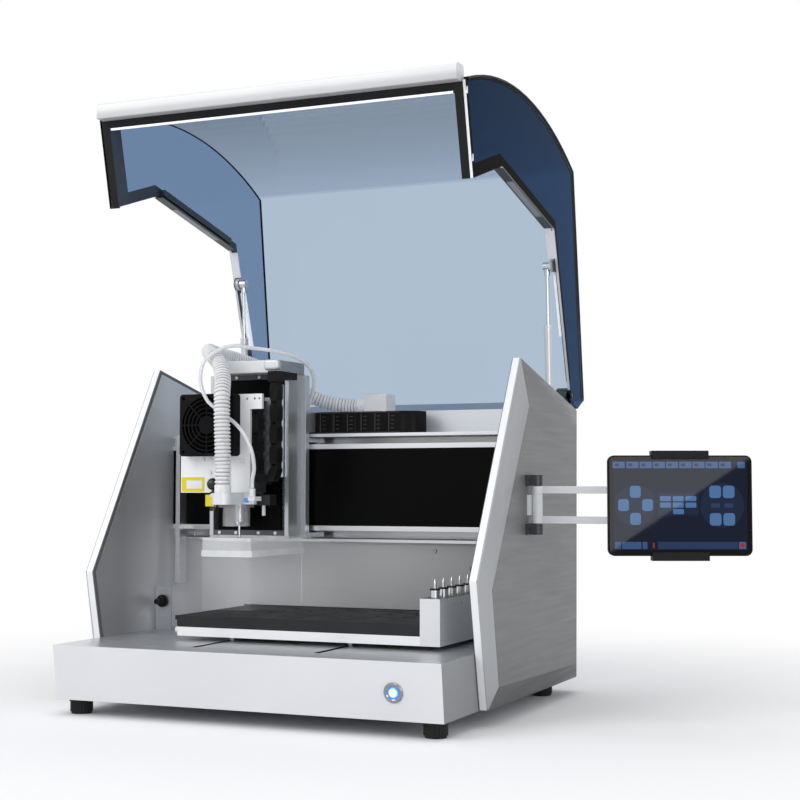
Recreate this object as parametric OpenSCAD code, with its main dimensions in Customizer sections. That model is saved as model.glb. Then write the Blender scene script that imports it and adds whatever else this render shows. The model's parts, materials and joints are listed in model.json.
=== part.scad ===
// Desktop CNC milling machine with a tip-back clear hood, a moving bed with a tool rack,
// a spindle on a two-axis gantry and a touch panel on a swing arm.
// Millimetres. X to the right, Y to the back, Z up. The origin is on the table,
// at the centre of the four feet.

/* [Base] */
// Width of the base housing
base_width = 460; // [400:1:560]
// Depth of the deck from its front edge to the back
deck_depth = 422; // [380:1:500]
// Front edge of the deck, ahead of the centre of the feet
deck_front = 200; // [180:1:240]
// Height of the base housing without its feet
base_height = 60; // [50:1:80]
// How far the foot of the front panel lies back from its top edge
front_rake = 7.7; // [0:0.1:15]
// Sheet of the base housing
base_sheet = 2.5; // [1.5:0.1:4]
// Height of the feet
foot_height = 17; // [10:1:30]
// Largest radius of a foot
foot_r = 13.4; // [10:0.1:18]
// Side to side spacing of the feet
foot_pitch_x = 424; // [340:1:440]
// Front to back spacing of the feet
foot_pitch_y = 340; // [280:1:360]
// Width of the two deck grooves that the bed legs run in
groove_width = 7; // [5:0.5:12]

/* [Side panels] */
// Thickness of a side panel at its edge
panel_edge = 10; // [6:0.5:16]
// Whole thickness of a side panel, bevels included
panel_thickness = 20; // [14:0.5:30]
// Height of the panel's peak above the table
panel_peak = 395; // [340:1:440]
// Height of the panel's front knee above the table
panel_knee = 153.2; // [120:0.1:200]
// Sheet of the brushed liner on the inside
liner_sheet = 1; // [0.8:0.1:2]

/* [Gantry] */
// Front face of the gantry, behind the centre of the feet
gantry_front = 45; // [40:1:60]
// Height of the shelf that the cable chain lies on
shelf_top = 314; // [300:1:330]
// Height of the cabinet's top
cabinet_top = 342; // [336:1:350]
// Bottom edge of the black gantry cover
cover_bottom = 204; // [200:1:220]
// Top edge of the black gantry cover
cover_top = 295.5; // [285:0.5:296]
// Height of the bright strips along the cover
cover_strip = 6; // [4:0.5:6.5]
// Depth of the upright strip at the gantry's left end
end_strip_depth = 16.4; // [10:0.2:18]
// Height of the gantry's lower lip
beam_bottom = 184; // [178:1:186]
// Side of the square gantry and lift motors
motor_size = 35; // [28:1:36]

/* [Carriage] */
// Centre of the carriage across the machine, at rest
carriage_x = -94; // [-94:1:60]
// Outer width of the lift housing
z_width = 106; // [96:1:110]
// Depth of the lift housing
z_depth = 32; // [30:1:40]
// Bottom of the lift housing
z_bottom = 193; // [190:1:200]
// Top of the lift housing
z_top = 383.5; // [370:0.5:386]
// Height of the cap on the lift housing
cap_height = 15; // [10:0.5:18]
// Wall of the lift housing
z_wall = 5; // [3:0.5:8]

/* [Spindle] */
// Edge of the square fan
fan_size = 72; // [60:1:76]
// Thickness of the fan
fan_depth = 15; // [10:1:20]
// Width of the white front plate
plate_width = 92; // [80:1:96]
// Thickness of the white front plate
plate_sheet = 4; // [2:0.5:5]
// Height of the white front plate
plate_height = 114; // [100:1:120]
// Radius of the spindle shaft
shaft_r = 6; // [5:0.5:8]
// Radius of the cutting tool
tool_r = 1.6; // [1:0.1:3.1]
// Radius of the dust hose
hose_r = 9.6; // [8:0.2:10]

/* [Bed] */
// Width of the bed plate
bed_width = 298; // [260:1:300]
// Depth of the bed
bed_depth = 210; // [180:1:220]
// Thickness of the black work slab
slab_thickness = 13; // [8:0.5:16]
// Thickness of the white plate under the slab
bed_plate_thickness = 10; // [6:0.5:12]
// Gap between the deck and the bed
bed_gap = 5; // [3:0.5:8]
// Width of the tool rack
rack_width = 23; // [20:0.5:26]
// Height of the tool rack
rack_height = 50; // [40:1:52]
// Number of tools in the rack
tool_count = 6; // [3:1:7]
// Spacing of the tools in the rack
tool_pitch = 24.5; // [20:0.5:28]
// Radius of a tool shank in the rack
rack_shank_r = 1.6; // [1.5:0.1:3.2]

/* [Hood] */
// Thickness of the clear sheets of the hood
hood_sheet_thickness = 4; // [3:0.5:6]
// Thickness of the clear side plates of the hood
hood_plate_thickness = 3.5; // [3:0.5:5]
// Gap between a side plate of the hood and the liner
hood_gap = 0.8; // [0.5:0.1:2]
// Width of the black border on the side plates
border_width = 14; // [10:0.5:18]
// Height of the handle bar
bar_height = 19; // [14:0.5:24]
// Depth of the handle bar
bar_depth = 21; // [14:0.5:24]
// Radius of the hood's hinge pins
hinge_pin_r = 4; // [3:0.5:5]
// Radius of the gas strut cylinders
strut_r = 4.5; // [3.5:0.5:6]
// Radius of the gas strut rods
strut_rod_r = 2; // [1.5:0.5:3]

/* [Touch panel] */
// Length of the swing arm between its pins
arm_length = 156; // [120:1:180]
// Height of each arm bar
arm_bar = 8; // [6:0.5:12]
// Width of the touch panel
tablet_width = 152; // [130:1:170]
// Height of the touch panel
tablet_height = 106; // [90:1:110]
// Thickness of the touch panel
tablet_thickness = 9; // [7:0.5:12]
// Angle of the touch panel about its upright pin
tablet_turn = 23.4; // [0:0.1:30]

/* [Power button] */
// Radius of the button's outer ring
button_ring_r = 10.5; // [9:0.5:14]
// Travel of the button
button_travel = 2; // [1:0.5:3]

/* [Fits] */
// Clearance round a running shaft
run_gap = 0.05; // [0.02:0.01:0.09]
// Clearance between curved parts that stay put
seat_gap = 0.3; // [0.2:0.05:0.5]

/* [Hidden] */
$fn = 48;
eps = 0.01;
half = base_width / 2;
deck_top = foot_height + base_height;
front_y = -deck_front;
back_y = deck_depth - deck_front;
liner_x = half - liner_sheet;

// Edge outline of a side panel as (y, z), and the outline of its smaller outer face
edge_outline = [
  [front_y + 74.7, panel_knee],
  [front_y + 104.8, foot_height],
  [back_y, foot_height],
  [back_y + 8, panel_peak - 49],
  [front_y + 215, panel_peak]
];
face_outline = [
  [front_y + 91.8, panel_knee - 9.1],
  [front_y + 111.2, foot_height + 25.3],
  [back_y - 34.3, foot_height + 20.1],
  [back_y - 26.4, panel_peak - 77.9],
  [front_y + 214.2, panel_peak - 54.6]
];

// Gantry layers from front to back
beam_y = gantry_front;
cover_sheet = 2;
strip_proud = 1.5;
web_y = beam_y + 46;
web_thickness = 8;
rail_height = 8;
rail_width = 12;
block_height = 10;
block_width = 27;
block_length = 34;
rail_z_low = cover_bottom + 0;
rail_z_high = cover_top + 0.5;
saddle_y = web_y - rail_height - 5 - 5;
saddle_thickness = 5;
screw_r = 5;
x_screw_y = beam_y + 19.5;
x_screw_z = (rail_z_low + rail_z_high) / 2;
cabinet_y = web_y + web_thickness;
cabinet_sheet = 2;
rear_sheet = 2.5;
inner_wall_y = beam_y + 22;
end_strip_foot = beam_bottom - 53;

// Lift axis, relative to the carriage centre
plate_y = beam_y - 18;
z_back = plate_y;
z_front = plate_y - z_depth;
plate_front_y = z_front - 50;
spindle_y = z_front - 22;
z_rail_w = 9;
z_rail_h = 6.5;
z_saddle_y = z_back - z_wall - z_rail_h - 3.5 - 6;
z_screw_y = z_back - z_wall - 9;
z_screw_r = 4;
plate_left = -63;
plate_base = z_bottom + 50.5;
fan_x = -20;
fan_z = plate_base + 78.2;
shoe_top = plate_base - 0.3;

// Bed, relative to its own centre line
bed_x = 16.5;
bed_front = -100;
bed_bottom = deck_top + bed_gap;
slab_bottom = bed_bottom + bed_plate_thickness;
bed_top = slab_bottom + slab_thickness;
leg_x = 74;
leg_thickness = groove_width - 2.6;
rail_bar_height = 16;
floor_top = foot_height + 2;
y_rail_top = floor_top + rail_bar_height + rail_height;
y_block_top = y_rail_top + 5;
y_saddle_thickness = 7;

// Hood, open as it stands
hinge_y = back_y + 30;
hinge_z = cabinet_top + 24;
plate_x = liner_x - hood_gap;
hood_inner_x = plate_x - hood_plate_thickness;
hinge = [hinge_y, hinge_z];
sheet_foot = hinge + [50, -5];
sheet_knee = hinge + [10, 287];
sheet_crown = hinge + [-189, 341.6];
sheet_end = hinge + [-369, 316];
h4_top = hinge + [-378, 310];
h43 = hinge + [-354, 210.5];
h32 = hinge + [-262, 241];
h21 = hinge + [-72, 200];
h10 = hinge + [-6, -9];
plate_toe = hinge + [21, -16.5];
strut_x = hood_inner_x - 10.7;
strut_low = [hinge_y - 52, cabinet_top + 10];
strut_top = hinge + [-58, 157];
strut_angle = atan2(strut_top[1] - strut_low[1], strut_top[0] - strut_low[0]);
strut_open = norm(strut_top - strut_low);
strut_cylinder = 98;

// Touch panel arm
arm_pin = [half + panel_thickness + 9, 15];
arm_z = 230.5;
arm_bar_pitch = 33;
holder_pin_x = arm_pin[0] + arm_length;

// Shared places and sizes of the small parts
hinge_block_x = hood_inner_x - 9;
hinge_block_w = 14;
strut_eye_w = 9;
strut_pin_r = 3;
arm_pin_r = 3;
arm_sleeve_r = 5.5;
bracket_h = 12;
arm_bracket_z = [arm_z - arm_bar_pitch / 2 - arm_bar / 2 - bracket_h - 0.5,
  arm_z + arm_bar_pitch / 2 + arm_bar / 2 + 0.5];
plate_half = z_width / 2 + 6;
hook_top = shelf_top - 5;
hook_low = beam_bottom + 5.5;
slot_inner = z_width / 2 - z_wall;
z_rail_x = slot_inner - 18;
strip_screws = [8.6 - slot_inner, -17.2, 13.2, slot_inner - 12.3];
z_motor_x = -16;
guard_front = z_front - 98;
guard_right = z_width / 2 + 5;
guard_left = -5;
guard_wall = 3;
guard_bar_z = z_bottom - 21;
curtain_foot = bed_top + 8;
z_saddle_z = [z_top - 97, z_top - 13];
z_plate_z = [plate_base + 18, plate_base + 112];
spindle_half = 27;
plate_screws = [[-32.6, 38.4, 2.2], [-23.2, 38.3, 2.2], [19.5, 35, 3.4], [-23.8, 23.8, 2.6]];
fan_ring_r = [14.5, 19.5, 24.5, 29.5];
hose_x = 12;
hose_y = plate_front_y - 32;
lever_pin = [-15, plate_base - 3];
slab_hole_r = 3;
slab_hole_pitch = 34;
bed_mid_y = bed_front + bed_depth / 2;
rack_x = bed_x + bed_width / 2 + rack_width / 2;
rack_top = bed_bottom + rack_height;
rack_start = 14.7;
rack_first = bed_front + rack_start;
rack_bore = 22;
collar_r = 5;
collar_height = 9.5;
bar_end_x = hood_inner_x - 1;
button_x = half - 53;
button_z = foot_height + 28.5;
button_hole_r = 8;
button_tilt = atan2(front_rake, base_height);
button_face_y = front_y + (deck_top - button_z) * front_rake / base_height;
foot_screw_r = 3.2;
y_rail_front = front_y + 20;
y_rail_back = back_y - 12;
x_motor_x = liner_x - 3;
motor_length = 36;
shaft_length = 8;
y_screw_z = y_block_top - 3.5;
y_motor_y = back_y - base_sheet;
z_motor_y = plate_y + 10 + motor_size / 2 + 1;
coupling_bore = 2.5 + run_gap;
x_screw_start = x_motor_x - motor_length - 2.5;
x_screw_end = -liner_x + 14;
y_screw_start = y_motor_y - motor_length - 2.5;
y_screw_end = y_rail_front + 6;
rear_inlet = [-150, 236];
button_cap_r = 6.2;
liner_screws = [[front_y + 90, panel_knee - 6], [front_y + 112, deck_top + 12], [-40, 262]];
rack_tool_top = rack_top + 20;
border_sheet = 0.6;
bar_y = sheet_end[0] - bar_depth;
bar_z = h4_top[1] - 1;
front_run = unit(h43 - h4_top);
front_in = [-front_run[1], front_run[0]];
front_top = h4_top - front_run / front_run[1];
frame_top = 8.7;
frame_side = 9.5;
strut_bore_foot = 12;
strut_rod_foot = strut_cylinder - 28;
tablet_back = -11;
jaw_width = 60;
shelf_sheet = 4;
hose_port = [carriage_x + hose_x + 74, 150];
hose_rest_z = 351.8;
chain_pitch = 15;
chain_thick = 14;
chain_width = 26;
chain_y = beam_y + 11;
x_chain_r = 16;
x_chain_from = carriage_x + plate_half + chain_thick / 2 + 0.2;
x_chain_bend = 79;
x_chain_to = -40;
z_chain_left = 33;
z_chain_right = 57;
z_chain_y = plate_front_y + plate_sheet + 0.2;
z_chain_width = 14;
z_chain_foot = plate_base + 26;
z_chain_pitch = 12;

// 2D helpers
module rounded(w, h, r) {
  square([w - 2 * r, h], center = true);
  square([w, h - 2 * r], center = true);
  for (sx = [-1, 1], sy = [-1, 1]) {
    translate([sx * (w / 2 - r), sy * (h / 2 - r)]) circle(r = r);
  }
}
module capsule(a, b, r) {
  d = b - a;
  translate(a) circle(r = r);
  translate(b) circle(r = r);
  translate(a) rotate(atan2(d[1], d[0])) translate([0, -r]) square([norm(d), 2 * r]);
}

// Puts a (y, z) outline across the machine, centred on x = 0
module across(width) {
  rotate([90, 0, 90]) linear_extrude(width, center = true) children();
}
// Puts a (y, z) outline across the machine from x = 0 to x = width
module across_from(width) {
  rotate([90, 0, 90]) linear_extrude(width) children();
}
module both_sides() {
  children();
  mirror([1, 0, 0]) children();
}
module box(x, y, z) {
  translate([x[0], y[0], z[0]]) cube([x[1] - x[0], y[1] - y[0], z[1] - z[0]]);
}
// Pan head screw with its head on z = 0, drawn upward
module screw_head(r) {
  difference() {
    cylinder(r = r, h = r * 0.7);
    translate([0, 0, r * 0.35]) cylinder(r = r * 0.5, h = r, $fn = 6);
  }
}

// Point functions
function turn(p, a) = [p[0] * cos(a) - p[1] * sin(a), p[0] * sin(a) + p[1] * cos(a)];
function unit(v) = v / norm(v);
function cross2(a, b) = a[0] * b[1] - a[1] * b[0];
// Centre of the circle through three points
function centre_of(a, b, c) =
  let(
    d = 2 * (a[0] * (b[1] - c[1]) + b[0] * (c[1] - a[1]) + c[0] * (a[1] - b[1])),
    qa = a * a, qb = b * b, qc = c * c
  )
  [
    (qa * (b[1] - c[1]) + qb * (c[1] - a[1]) + qc * (a[1] - b[1])) / d,
    (qa * (c[0] - b[0]) + qb * (a[0] - c[0]) + qc * (b[0] - a[0])) / d
  ];
// Points on the circle round c from point a to point b, the short way
function arc_points(c, a, b, steps) =
  let(
    r = norm(a - c),
    t0 = atan2(a[1] - c[1], a[0] - c[0]),
    t1 = atan2(b[1] - c[1], b[0] - c[0]),
    dt = t1 - t0,
    sweep = dt > 180 ? dt - 360 : dt < -180 ? dt + 360 : dt
  )
  [for (i = [0:steps]) c + r * [cos(t0 + sweep * i / steps), sin(t0 + sweep * i / steps)]];
// A corner rounded by radius r, from the points before and after it
function fillet_points(a, p, b, r, steps) =
  let(
    u = unit(a - p),
    v = unit(b - p),
    half_angle = acos(u * v) / 2,
    reach = r / tan(half_angle),
    c = p + unit(u + v) * r / sin(half_angle)
  )
  arc_points(c, p + u * reach, p + v * reach, steps);
// A convex outline moved inward by m; the outline runs clockwise in (y, z)
function inset_outline(p, m) =
  let(n = len(p))
  [
    for (i = [0:n - 1])
      let(
        d0 = unit(p[i] - p[(i + n - 1) % n]),
        d1 = unit(p[(i + 1) % n] - p[i]),
        side = sign(cross2(p[1] - p[0], p[2] - p[1])),
        n0 = side * [-d0[1], d0[0]],
        n1 = side * [-d1[1], d1[0]],
        a = p[i] + n0 * m,
        b = p[i] + n1 * m,
        t = cross2(b - a, d1) / cross2(d0, d1)
      )
      a + d0 * t
  ];
// Smooth curve through the points, each span in k steps
function spline(p, k) =
  [
    for (i = [0:len(p) - 2], j = [0:k - 1])
      let(
        a = p[max(i - 1, 0)], b = p[i], c = p[i + 1], d = p[min(i + 2, len(p) - 1)],
        t = j / k
      )
      0.5 * (2 * b + (c - a) * t + (2 * a - 5 * b + 4 * c - d) * t * t
        + (3 * b - a - 3 * c + d) * t * t * t),
    p[len(p) - 1]
  ];
// Directions and rings for a tube along a path
function tangent(p, i) = unit(p[min(i + 1, len(p) - 1)] - p[max(i - 1, 0)]);
function carried(p, i, n) = let(t = tangent(p, i)) unit(n - (n * t) * t);
function normals(p, i, n) =
  i == len(p) ? [] : let(m = carried(p, i, n)) concat([m], normals(p, i + 1, m));
module tube(path, r, sides, start_normal) {
  n = len(path);
  dirs = normals(path, 0, start_normal);
  rings = [
    for (i = [0:n - 1], k = [0:sides - 1])
      let(u = dirs[i], v = cross(tangent(path, i), u), a = 360 * k / sides)
      path[i] + r * (u * cos(a) + v * sin(a))
  ];
  walls = [
    for (i = [0:n - 2], k = [0:sides - 1])
      let(a = i * sides + k, b = i * sides + (k + 1) % sides)
      [a, a + sides, b + sides, b]
  ];
  first = [for (k = [0:sides - 1]) k];
  last = [for (k = [sides - 1:-1:0]) (n - 1) * sides + k];
  polyhedron(rings, concat([first, last], walls));
}

// Base
module base_outline(inset) {
  polygon([
    [front_y + front_rake + inset, foot_height - (inset > 0 ? 1 : 0)],
    [front_y + inset, deck_top - inset],
    [back_y - inset, deck_top - inset],
    [back_y - inset, foot_height - (inset > 0 ? 1 : 0)]
  ]);
}
module base_housing() {
  groove_front = bed_front - 62;
  groove_back = back_y - 6;
  color("whitesmoke") difference() {
    across(base_width) base_outline(0);
    across(base_width - 2 * base_sheet) base_outline(base_sheet);
    for (s = [-1, 1]) {
      translate([s * leg_x, 0, deck_top]) {
        box([-groove_width / 2, groove_width / 2], [groove_front, groove_back], [-8, 2]);
      }
    }
    at_button() cylinder(r = button_hole_r, h = 30, center = true);
    // Row of air slots low in the back
    for (i = [-6:6]) {
      translate([i * 14, back_y, foot_height + 26]) cube([4, 12, 26], center = true);
    }
  }
}

module bottom_plate() {
  color("gainsboro") difference() {
    box([-13, 13], [y_screw_end - 8, y_screw_end + 6], [floor_top - 0.5, y_screw_z + 11]);
    translate([0, y_screw_end, y_screw_z]) rotate([-90, 0, 0]) {
      cylinder(r = screw_r + run_gap, h = 40);
    }
  }
  color("gainsboro") difference() {
    box(
      [-half + base_sheet, half - base_sheet],
      [front_y + front_rake + base_sheet + 0.4, back_y - base_sheet],
      [foot_height, floor_top]
    );
    at_feet() cylinder(r = foot_screw_r, h = 30, center = true);
    for (i = [-5:5]) {
      translate([i * 16, 130, foot_height]) cube([5, 60, 12], center = true);
    }
  }
}
module at_feet() {
  for (sx = [-1, 1], sy = [-1, 1]) {
    translate([sx * foot_pitch_x / 2, sy * foot_pitch_y / 2, foot_height]) children();
  }
}
module feet() {
  ribs = 20;
  color("#1c1c1e") at_feet() translate([0, 0, -foot_height]) difference() {
    union() {
      cylinder(r1 = foot_r - 2.4, r2 = foot_r - 1.6, h = 2.5);
      translate([0, 0, 2.5]) linear_extrude(foot_height - 6) difference() {
        circle(r = foot_r - 0.9);
        for (i = [0:ribs - 1]) {
          rotate(i * 360 / ribs) translate([foot_r - 0.7, 0]) circle(r = 0.9, $fn = 16);
        }
      }
      translate([0, 0, foot_height - 3.5]) cylinder(r = foot_r, h = 3.5);
    }
    cylinder(r = foot_screw_r, h = 60, center = true);
  }
}

// Side panels: bevelled slabs with a smaller outer face
module side_panel() {
  hull() {
    translate([half, 0, 0]) across_from(panel_edge) polygon(edge_outline);
    translate([half + panel_thickness - 0.2, 0, 0]) across_from(0.2) polygon(face_outline);
  }
}
module side_panel_left() {
  color("silver") mirror([1, 0, 0]) side_panel();
}
module side_panel_right() {
  color("silver") side_panel();
}
module side_liners() {
  outline = inset_outline(edge_outline, 5);
  color("darkgray") both_sides() translate([liner_x, 0, 0]) {
    across_from(liner_sheet) intersection() {
      polygon(outline);
      translate([-500, deck_top]) square([1000, 500]);
    }
    for (p = liner_screws) {
      translate([0, p[0], p[1]]) rotate([0, -90, 0]) cylinder(r = 2.2, h = 0.6);
    }
  }
}

// Wall behind the bed, with a low opening that the bed and the tool rack run through
module inner_wall() {
  bed_slot = [bed_x - bed_width / 2 - 6, bed_x + bed_width / 2 + rack_width + 6];
  rack_slot = [bed_x + bed_width / 2 - 6, bed_slot[1]];
  color("darkgray") difference() {
    box([-liner_x, liner_x], [inner_wall_y, inner_wall_y + 2], [deck_top, beam_bottom]);
    box(bed_slot, [inner_wall_y - 5, inner_wall_y + 5], [deck_top - 1, bed_top + 6]);
    box(rack_slot, [inner_wall_y - 5, inner_wall_y + 5], [deck_top - 1, rack_tool_top + 5]);
  }
  color("silver") for (sx = [-1, 1], z = [beam_bottom - 9]) {
    translate([sx * 115, inner_wall_y, z]) rotate([90, 0, 0]) screw_head(2.4);
  }
}

// Gantry beam: shelf for the cable chain, web that carries the rails, lower lip and end webs
module gantry_beam() {
  lip = 4;
  color("gainsboro") {
    across(2 * liner_x) polygon([
      [beam_y, shelf_top - shelf_sheet],
      [beam_y, shelf_top],
      [cabinet_y, shelf_top],
      [cabinet_y, beam_bottom],
      [inner_wall_y - 6, beam_bottom],
      [inner_wall_y - 6, beam_bottom + lip],
      [web_y, beam_bottom + lip],
      [web_y, shelf_top - shelf_sheet]
    ]);
    both_sides() translate([liner_x - 3, 0, 0]) {
      across_from(3) polygon([
        [beam_y + cover_sheet, beam_bottom + lip],
        [beam_y + cover_sheet, shelf_top - shelf_sheet],
        [web_y, shelf_top - shelf_sheet],
        [web_y, beam_bottom + lip]
      ]);
    }
    for (z = [cover_bottom - cover_strip, cover_top]) {
      box([-liner_x, liner_x], [beam_y - strip_proud, beam_y + cover_sheet], [z, z + cover_strip]);
    }
    box([-half + 14.5, -half + 20.3], [beam_y - end_strip_depth, beam_y], [end_strip_foot, shelf_top]);
    // Bearing at the free end of the gantry screw
    difference() {
      box([-liner_x + 3, x_screw_end + 8], [x_screw_y - 10, web_y + 1], [x_screw_z - 11, x_screw_z + 11]);
      translate([x_screw_end - 2, x_screw_y, x_screw_z]) rotate([0, 90, 0]) {
        cylinder(r = screw_r + run_gap, h = 40);
      }
    }
  }
}
module gantry_cover() {
  color("#141416") {
    box([-liner_x, liner_x], [beam_y, beam_y + cover_sheet], [cover_bottom, cover_top]);
  }
}

// Guide rails of the gantry, and of the bed on their bars
module guide_rails() {
  x_half = liner_x - 6;
  color("lightsteelblue") {
    for (z = [rail_z_low, rail_z_high]) {
      difference() {
        box([-x_half, x_half], [web_y - rail_height, web_y], [z - rail_width / 2, z + rail_width / 2]);
        for (i = [-8:8]) {
          translate([i * 26, web_y - rail_height, z]) rotate([90, 0, 0]) {
            cylinder(r = 3, h = 5, center = true, $fn = 24);
          }
        }
      }
    }
    for (s = [-1, 1]) {
      translate([s * leg_x, 0, 0]) {
        box([-9, 9], [y_rail_front, y_rail_back], [floor_top, floor_top + rail_bar_height]);
        box(
          [-rail_width / 2, rail_width / 2],
          [y_rail_front, y_rail_back],
          [floor_top + rail_bar_height, y_rail_top]
        );
      }
    }
  }
}

// Square motors that turn the gantry screw and the bed screw
module motor(size, length, shaft, pilot) {
  difference() {
    linear_extrude(length) rounded(size, size, 4);
    translate([0, 0, length * 0.25]) linear_extrude(length * 0.5) difference() {
      square(size + 2, center = true);
      circle(d = size * 1.12);
    }
  }
  translate([0, 0, length]) cylinder(r = pilot, h = 2);
  translate([0, 0, length]) cylinder(r = 2.5, h = shaft);
}
module drive_motors() {
  color("#303236") {
    translate([x_motor_x, x_screw_y, x_screw_z]) rotate([0, -90, 0]) {
      motor(motor_size, motor_length, shaft_length, 10);
    }
    translate([0, y_motor_y, y_screw_z]) rotate([90, 0, 0]) {
      motor(motor_size, motor_length, shaft_length, 10);
    }
  }
}
// Ball screw from z = 0 up, with a coupling at its start
module ball_screw(r, length, bore) {
  difference() {
    cylinder(r = r + 3, h = 14);
    translate([0, 0, -1]) cylinder(r = bore, h = 9);
  }
  translate([0, 0, 14]) cylinder(r = r, h = length - 14);
}
module x_ballscrew() {
  color("silver") translate([x_screw_start, x_screw_y, x_screw_z]) rotate([0, -90, 0]) {
    ball_screw(screw_r, x_screw_start - x_screw_end, coupling_bore);
  }
}
module y_ballscrew() {
  color("silver") translate([0, y_screw_start, y_screw_z]) rotate([90, 0, 0]) {
    ball_screw(screw_r, y_screw_start - y_screw_end, coupling_bore);
  }
}

// Cabinet behind the gantry, with the board and the supply inside
module electronics_cabinet() {
  rear = back_y - rear_sheet;
  color("gainsboro") difference() {
    union() {
      box([-liner_x, liner_x], [cabinet_y, rear], [beam_bottom, cabinet_top]);
    }
    box(
      [-liner_x + cabinet_sheet, liner_x - cabinet_sheet],
      [cabinet_y + cabinet_sheet, rear + 1],
      [beam_bottom + cabinet_sheet, cabinet_top - cabinet_sheet]
    );
  }
  // Socket of the dust hose on the cabinet's top
  color("gainsboro") difference() {
    translate([hose_port[0], hose_port[1] - 14, cabinet_top]) cube([30, 28, 24]);
    translate([hose_port[0] - 1, hose_port[1], hose_rest_z]) rotate([0, 90, 0]) {
      cylinder(r = hose_r + 0.2, h = 13);
    }
    translate([hose_port[0] + 22, hose_port[1], cabinet_top - 1]) cylinder(r = 5, h = 14);
    translate([hose_port[0] + 5, hose_port[1], hose_rest_z]) rotate([0, 90, 0]) {
      cylinder(r = 5, h = 17);
    }
  }
}
module rear_panel() {
  z0 = deck_top;
  inlet = rear_inlet;
  color("gainsboro") difference() {
    box([-liner_x, liner_x], [back_y - rear_sheet, back_y], [z0, cabinet_top]);
    translate([inlet[0], back_y, inlet[1]]) cube([27, 12, 20], center = true);
    translate([inlet[0], back_y, inlet[1] + 32]) cube([19, 12, 13], center = true);
    translate([inlet[0] - 48, back_y, inlet[1]]) cube([13, 12, 12], center = true);
    for (i = [0:14]) {
      translate([40 + i * 9, back_y, 280]) cube([4, 12, 60], center = true);
    }
    for (s = [-1, 1]) {
      translate([s * hinge_block_x, back_y, hinge_z - 36]) rotate([90, 0, 0]) {
        cylinder(r = 2.6, h = 12, center = true);
      }
    }
  }
}
module electronics() {
  floor_z = beam_bottom + cabinet_sheet;
  rear = back_y - rear_sheet;
  color("silver") difference() {
    box([30, 170], [cabinet_y + 12, rear - 26], [floor_z, floor_z + 42]);
    for (i = [0:9]) {
      translate([46 + i * 12, cabinet_y + 60, floor_z + 42]) cube([6, 60, 3], center = true);
    }
  }
  color("darkgreen") box([-120, 0], [cabinet_y + 10, rear - 30], [floor_z + 6, floor_z + 8]);
  color("#26262a") {
    for (p = [[-100, 40], [-60, 40], [-20, 40], [-100, 80], [-60, 80], [-20, 80]]) {
      translate([p[0], cabinet_y + p[1], floor_z + 8]) {
        box([-10, 10], [-12, 12], [0, 6]);
      }
    }
    for (p = [[-112, 18], [-8, 18], [-112, 86], [-8, 86]]) {
      translate([p[0], cabinet_y + p[1], floor_z]) cylinder(r = 3, h = 6);
    }
    // Inlet, switch and data socket that fill the openings of the rear panel
    translate([rear_inlet[0], back_y - 9, rear_inlet[1]]) difference() {
      cube([26.4, 22, 19.4], center = true);
      translate([0, 8, 0]) cube([20, 12, 13], center = true);
    }
    translate([rear_inlet[0], back_y - 6, rear_inlet[1] + 32]) cube([18.4, 16, 12.4], center = true);
    translate([rear_inlet[0] - 48, back_y - 6, rear_inlet[1]]) difference() {
      cube([12.4, 14, 11.4], center = true);
      translate([0, 5, 0]) cube([8.4, 8, 7.6], center = true);
    }
  }
}

// Small bracket with the touch probe's socket, on the deck
module cable_bracket() {
  x = -216;
  y = 0;
  color("gainsboro") {
    difference() {
      union() {
        box([x - 9, x + 13], [y, y + 2], [deck_top, deck_top + 53]);
        box([x - 9, x + 13], [y, y + 16], [deck_top, deck_top + 2]);
      }
      translate([x + 1, y + 10, deck_top]) cylinder(r = 2.2, h = 10, center = true);
      translate([x + 2, y, deck_top + 35]) rotate([90, 0, 0]) {
        cylinder(r = 5.2, h = 10, center = true);
      }
    }
    translate([x + 1, y + 10, deck_top + 2]) cylinder(r = 3.6, h = 2);
  }
  color("#1a1a1c") translate([x + 2, y, deck_top + 35]) rotate([90, 0, 0]) {
    translate([0, 0, -8]) cylinder(r = 5, h = 18);
    cylinder(r = 7.4, h = 4);
    translate([0, 0, 10]) cylinder(r = 3.4, h = 6);
  }
}

// Power button in the front panel
module at_button() {
  translate([button_x, button_face_y, button_z]) rotate([90 + button_tilt, 0, 0]) children();
}
module button_bezel() {
  color("silver") at_button() {
    difference() {
      union() {
        rotate_extrude() polygon([
          [button_cap_r + 0.3, 0], [button_ring_r, 0], [button_ring_r, 0.8],
          [button_ring_r - 0.9, 1.9], [button_cap_r + 1.2, 1.9], [button_cap_r + 0.3, 1.2]
        ]);
        translate([0, 0, -24]) cylinder(r = button_hole_r - 0.4, h = 24.5);
      }
      translate([0, 0, -6]) cylinder(r = button_cap_r + 0.3, h = 12);
    }
    translate([0, 0, -6]) linear_extrude(3) difference() {
      circle(r = button_hole_r + 3.5, $fn = 6);
      circle(r = button_hole_r - 0.4);
    }
  }
}
module button_cap() {
  color("deepskyblue") at_button() {
    translate([0, 0, -3.4]) cylinder(r = button_cap_r, h = 4.4);
    translate([0, 0, 1]) cylinder(r = button_cap_r - 2, h = 0.5);
  }
}

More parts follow.
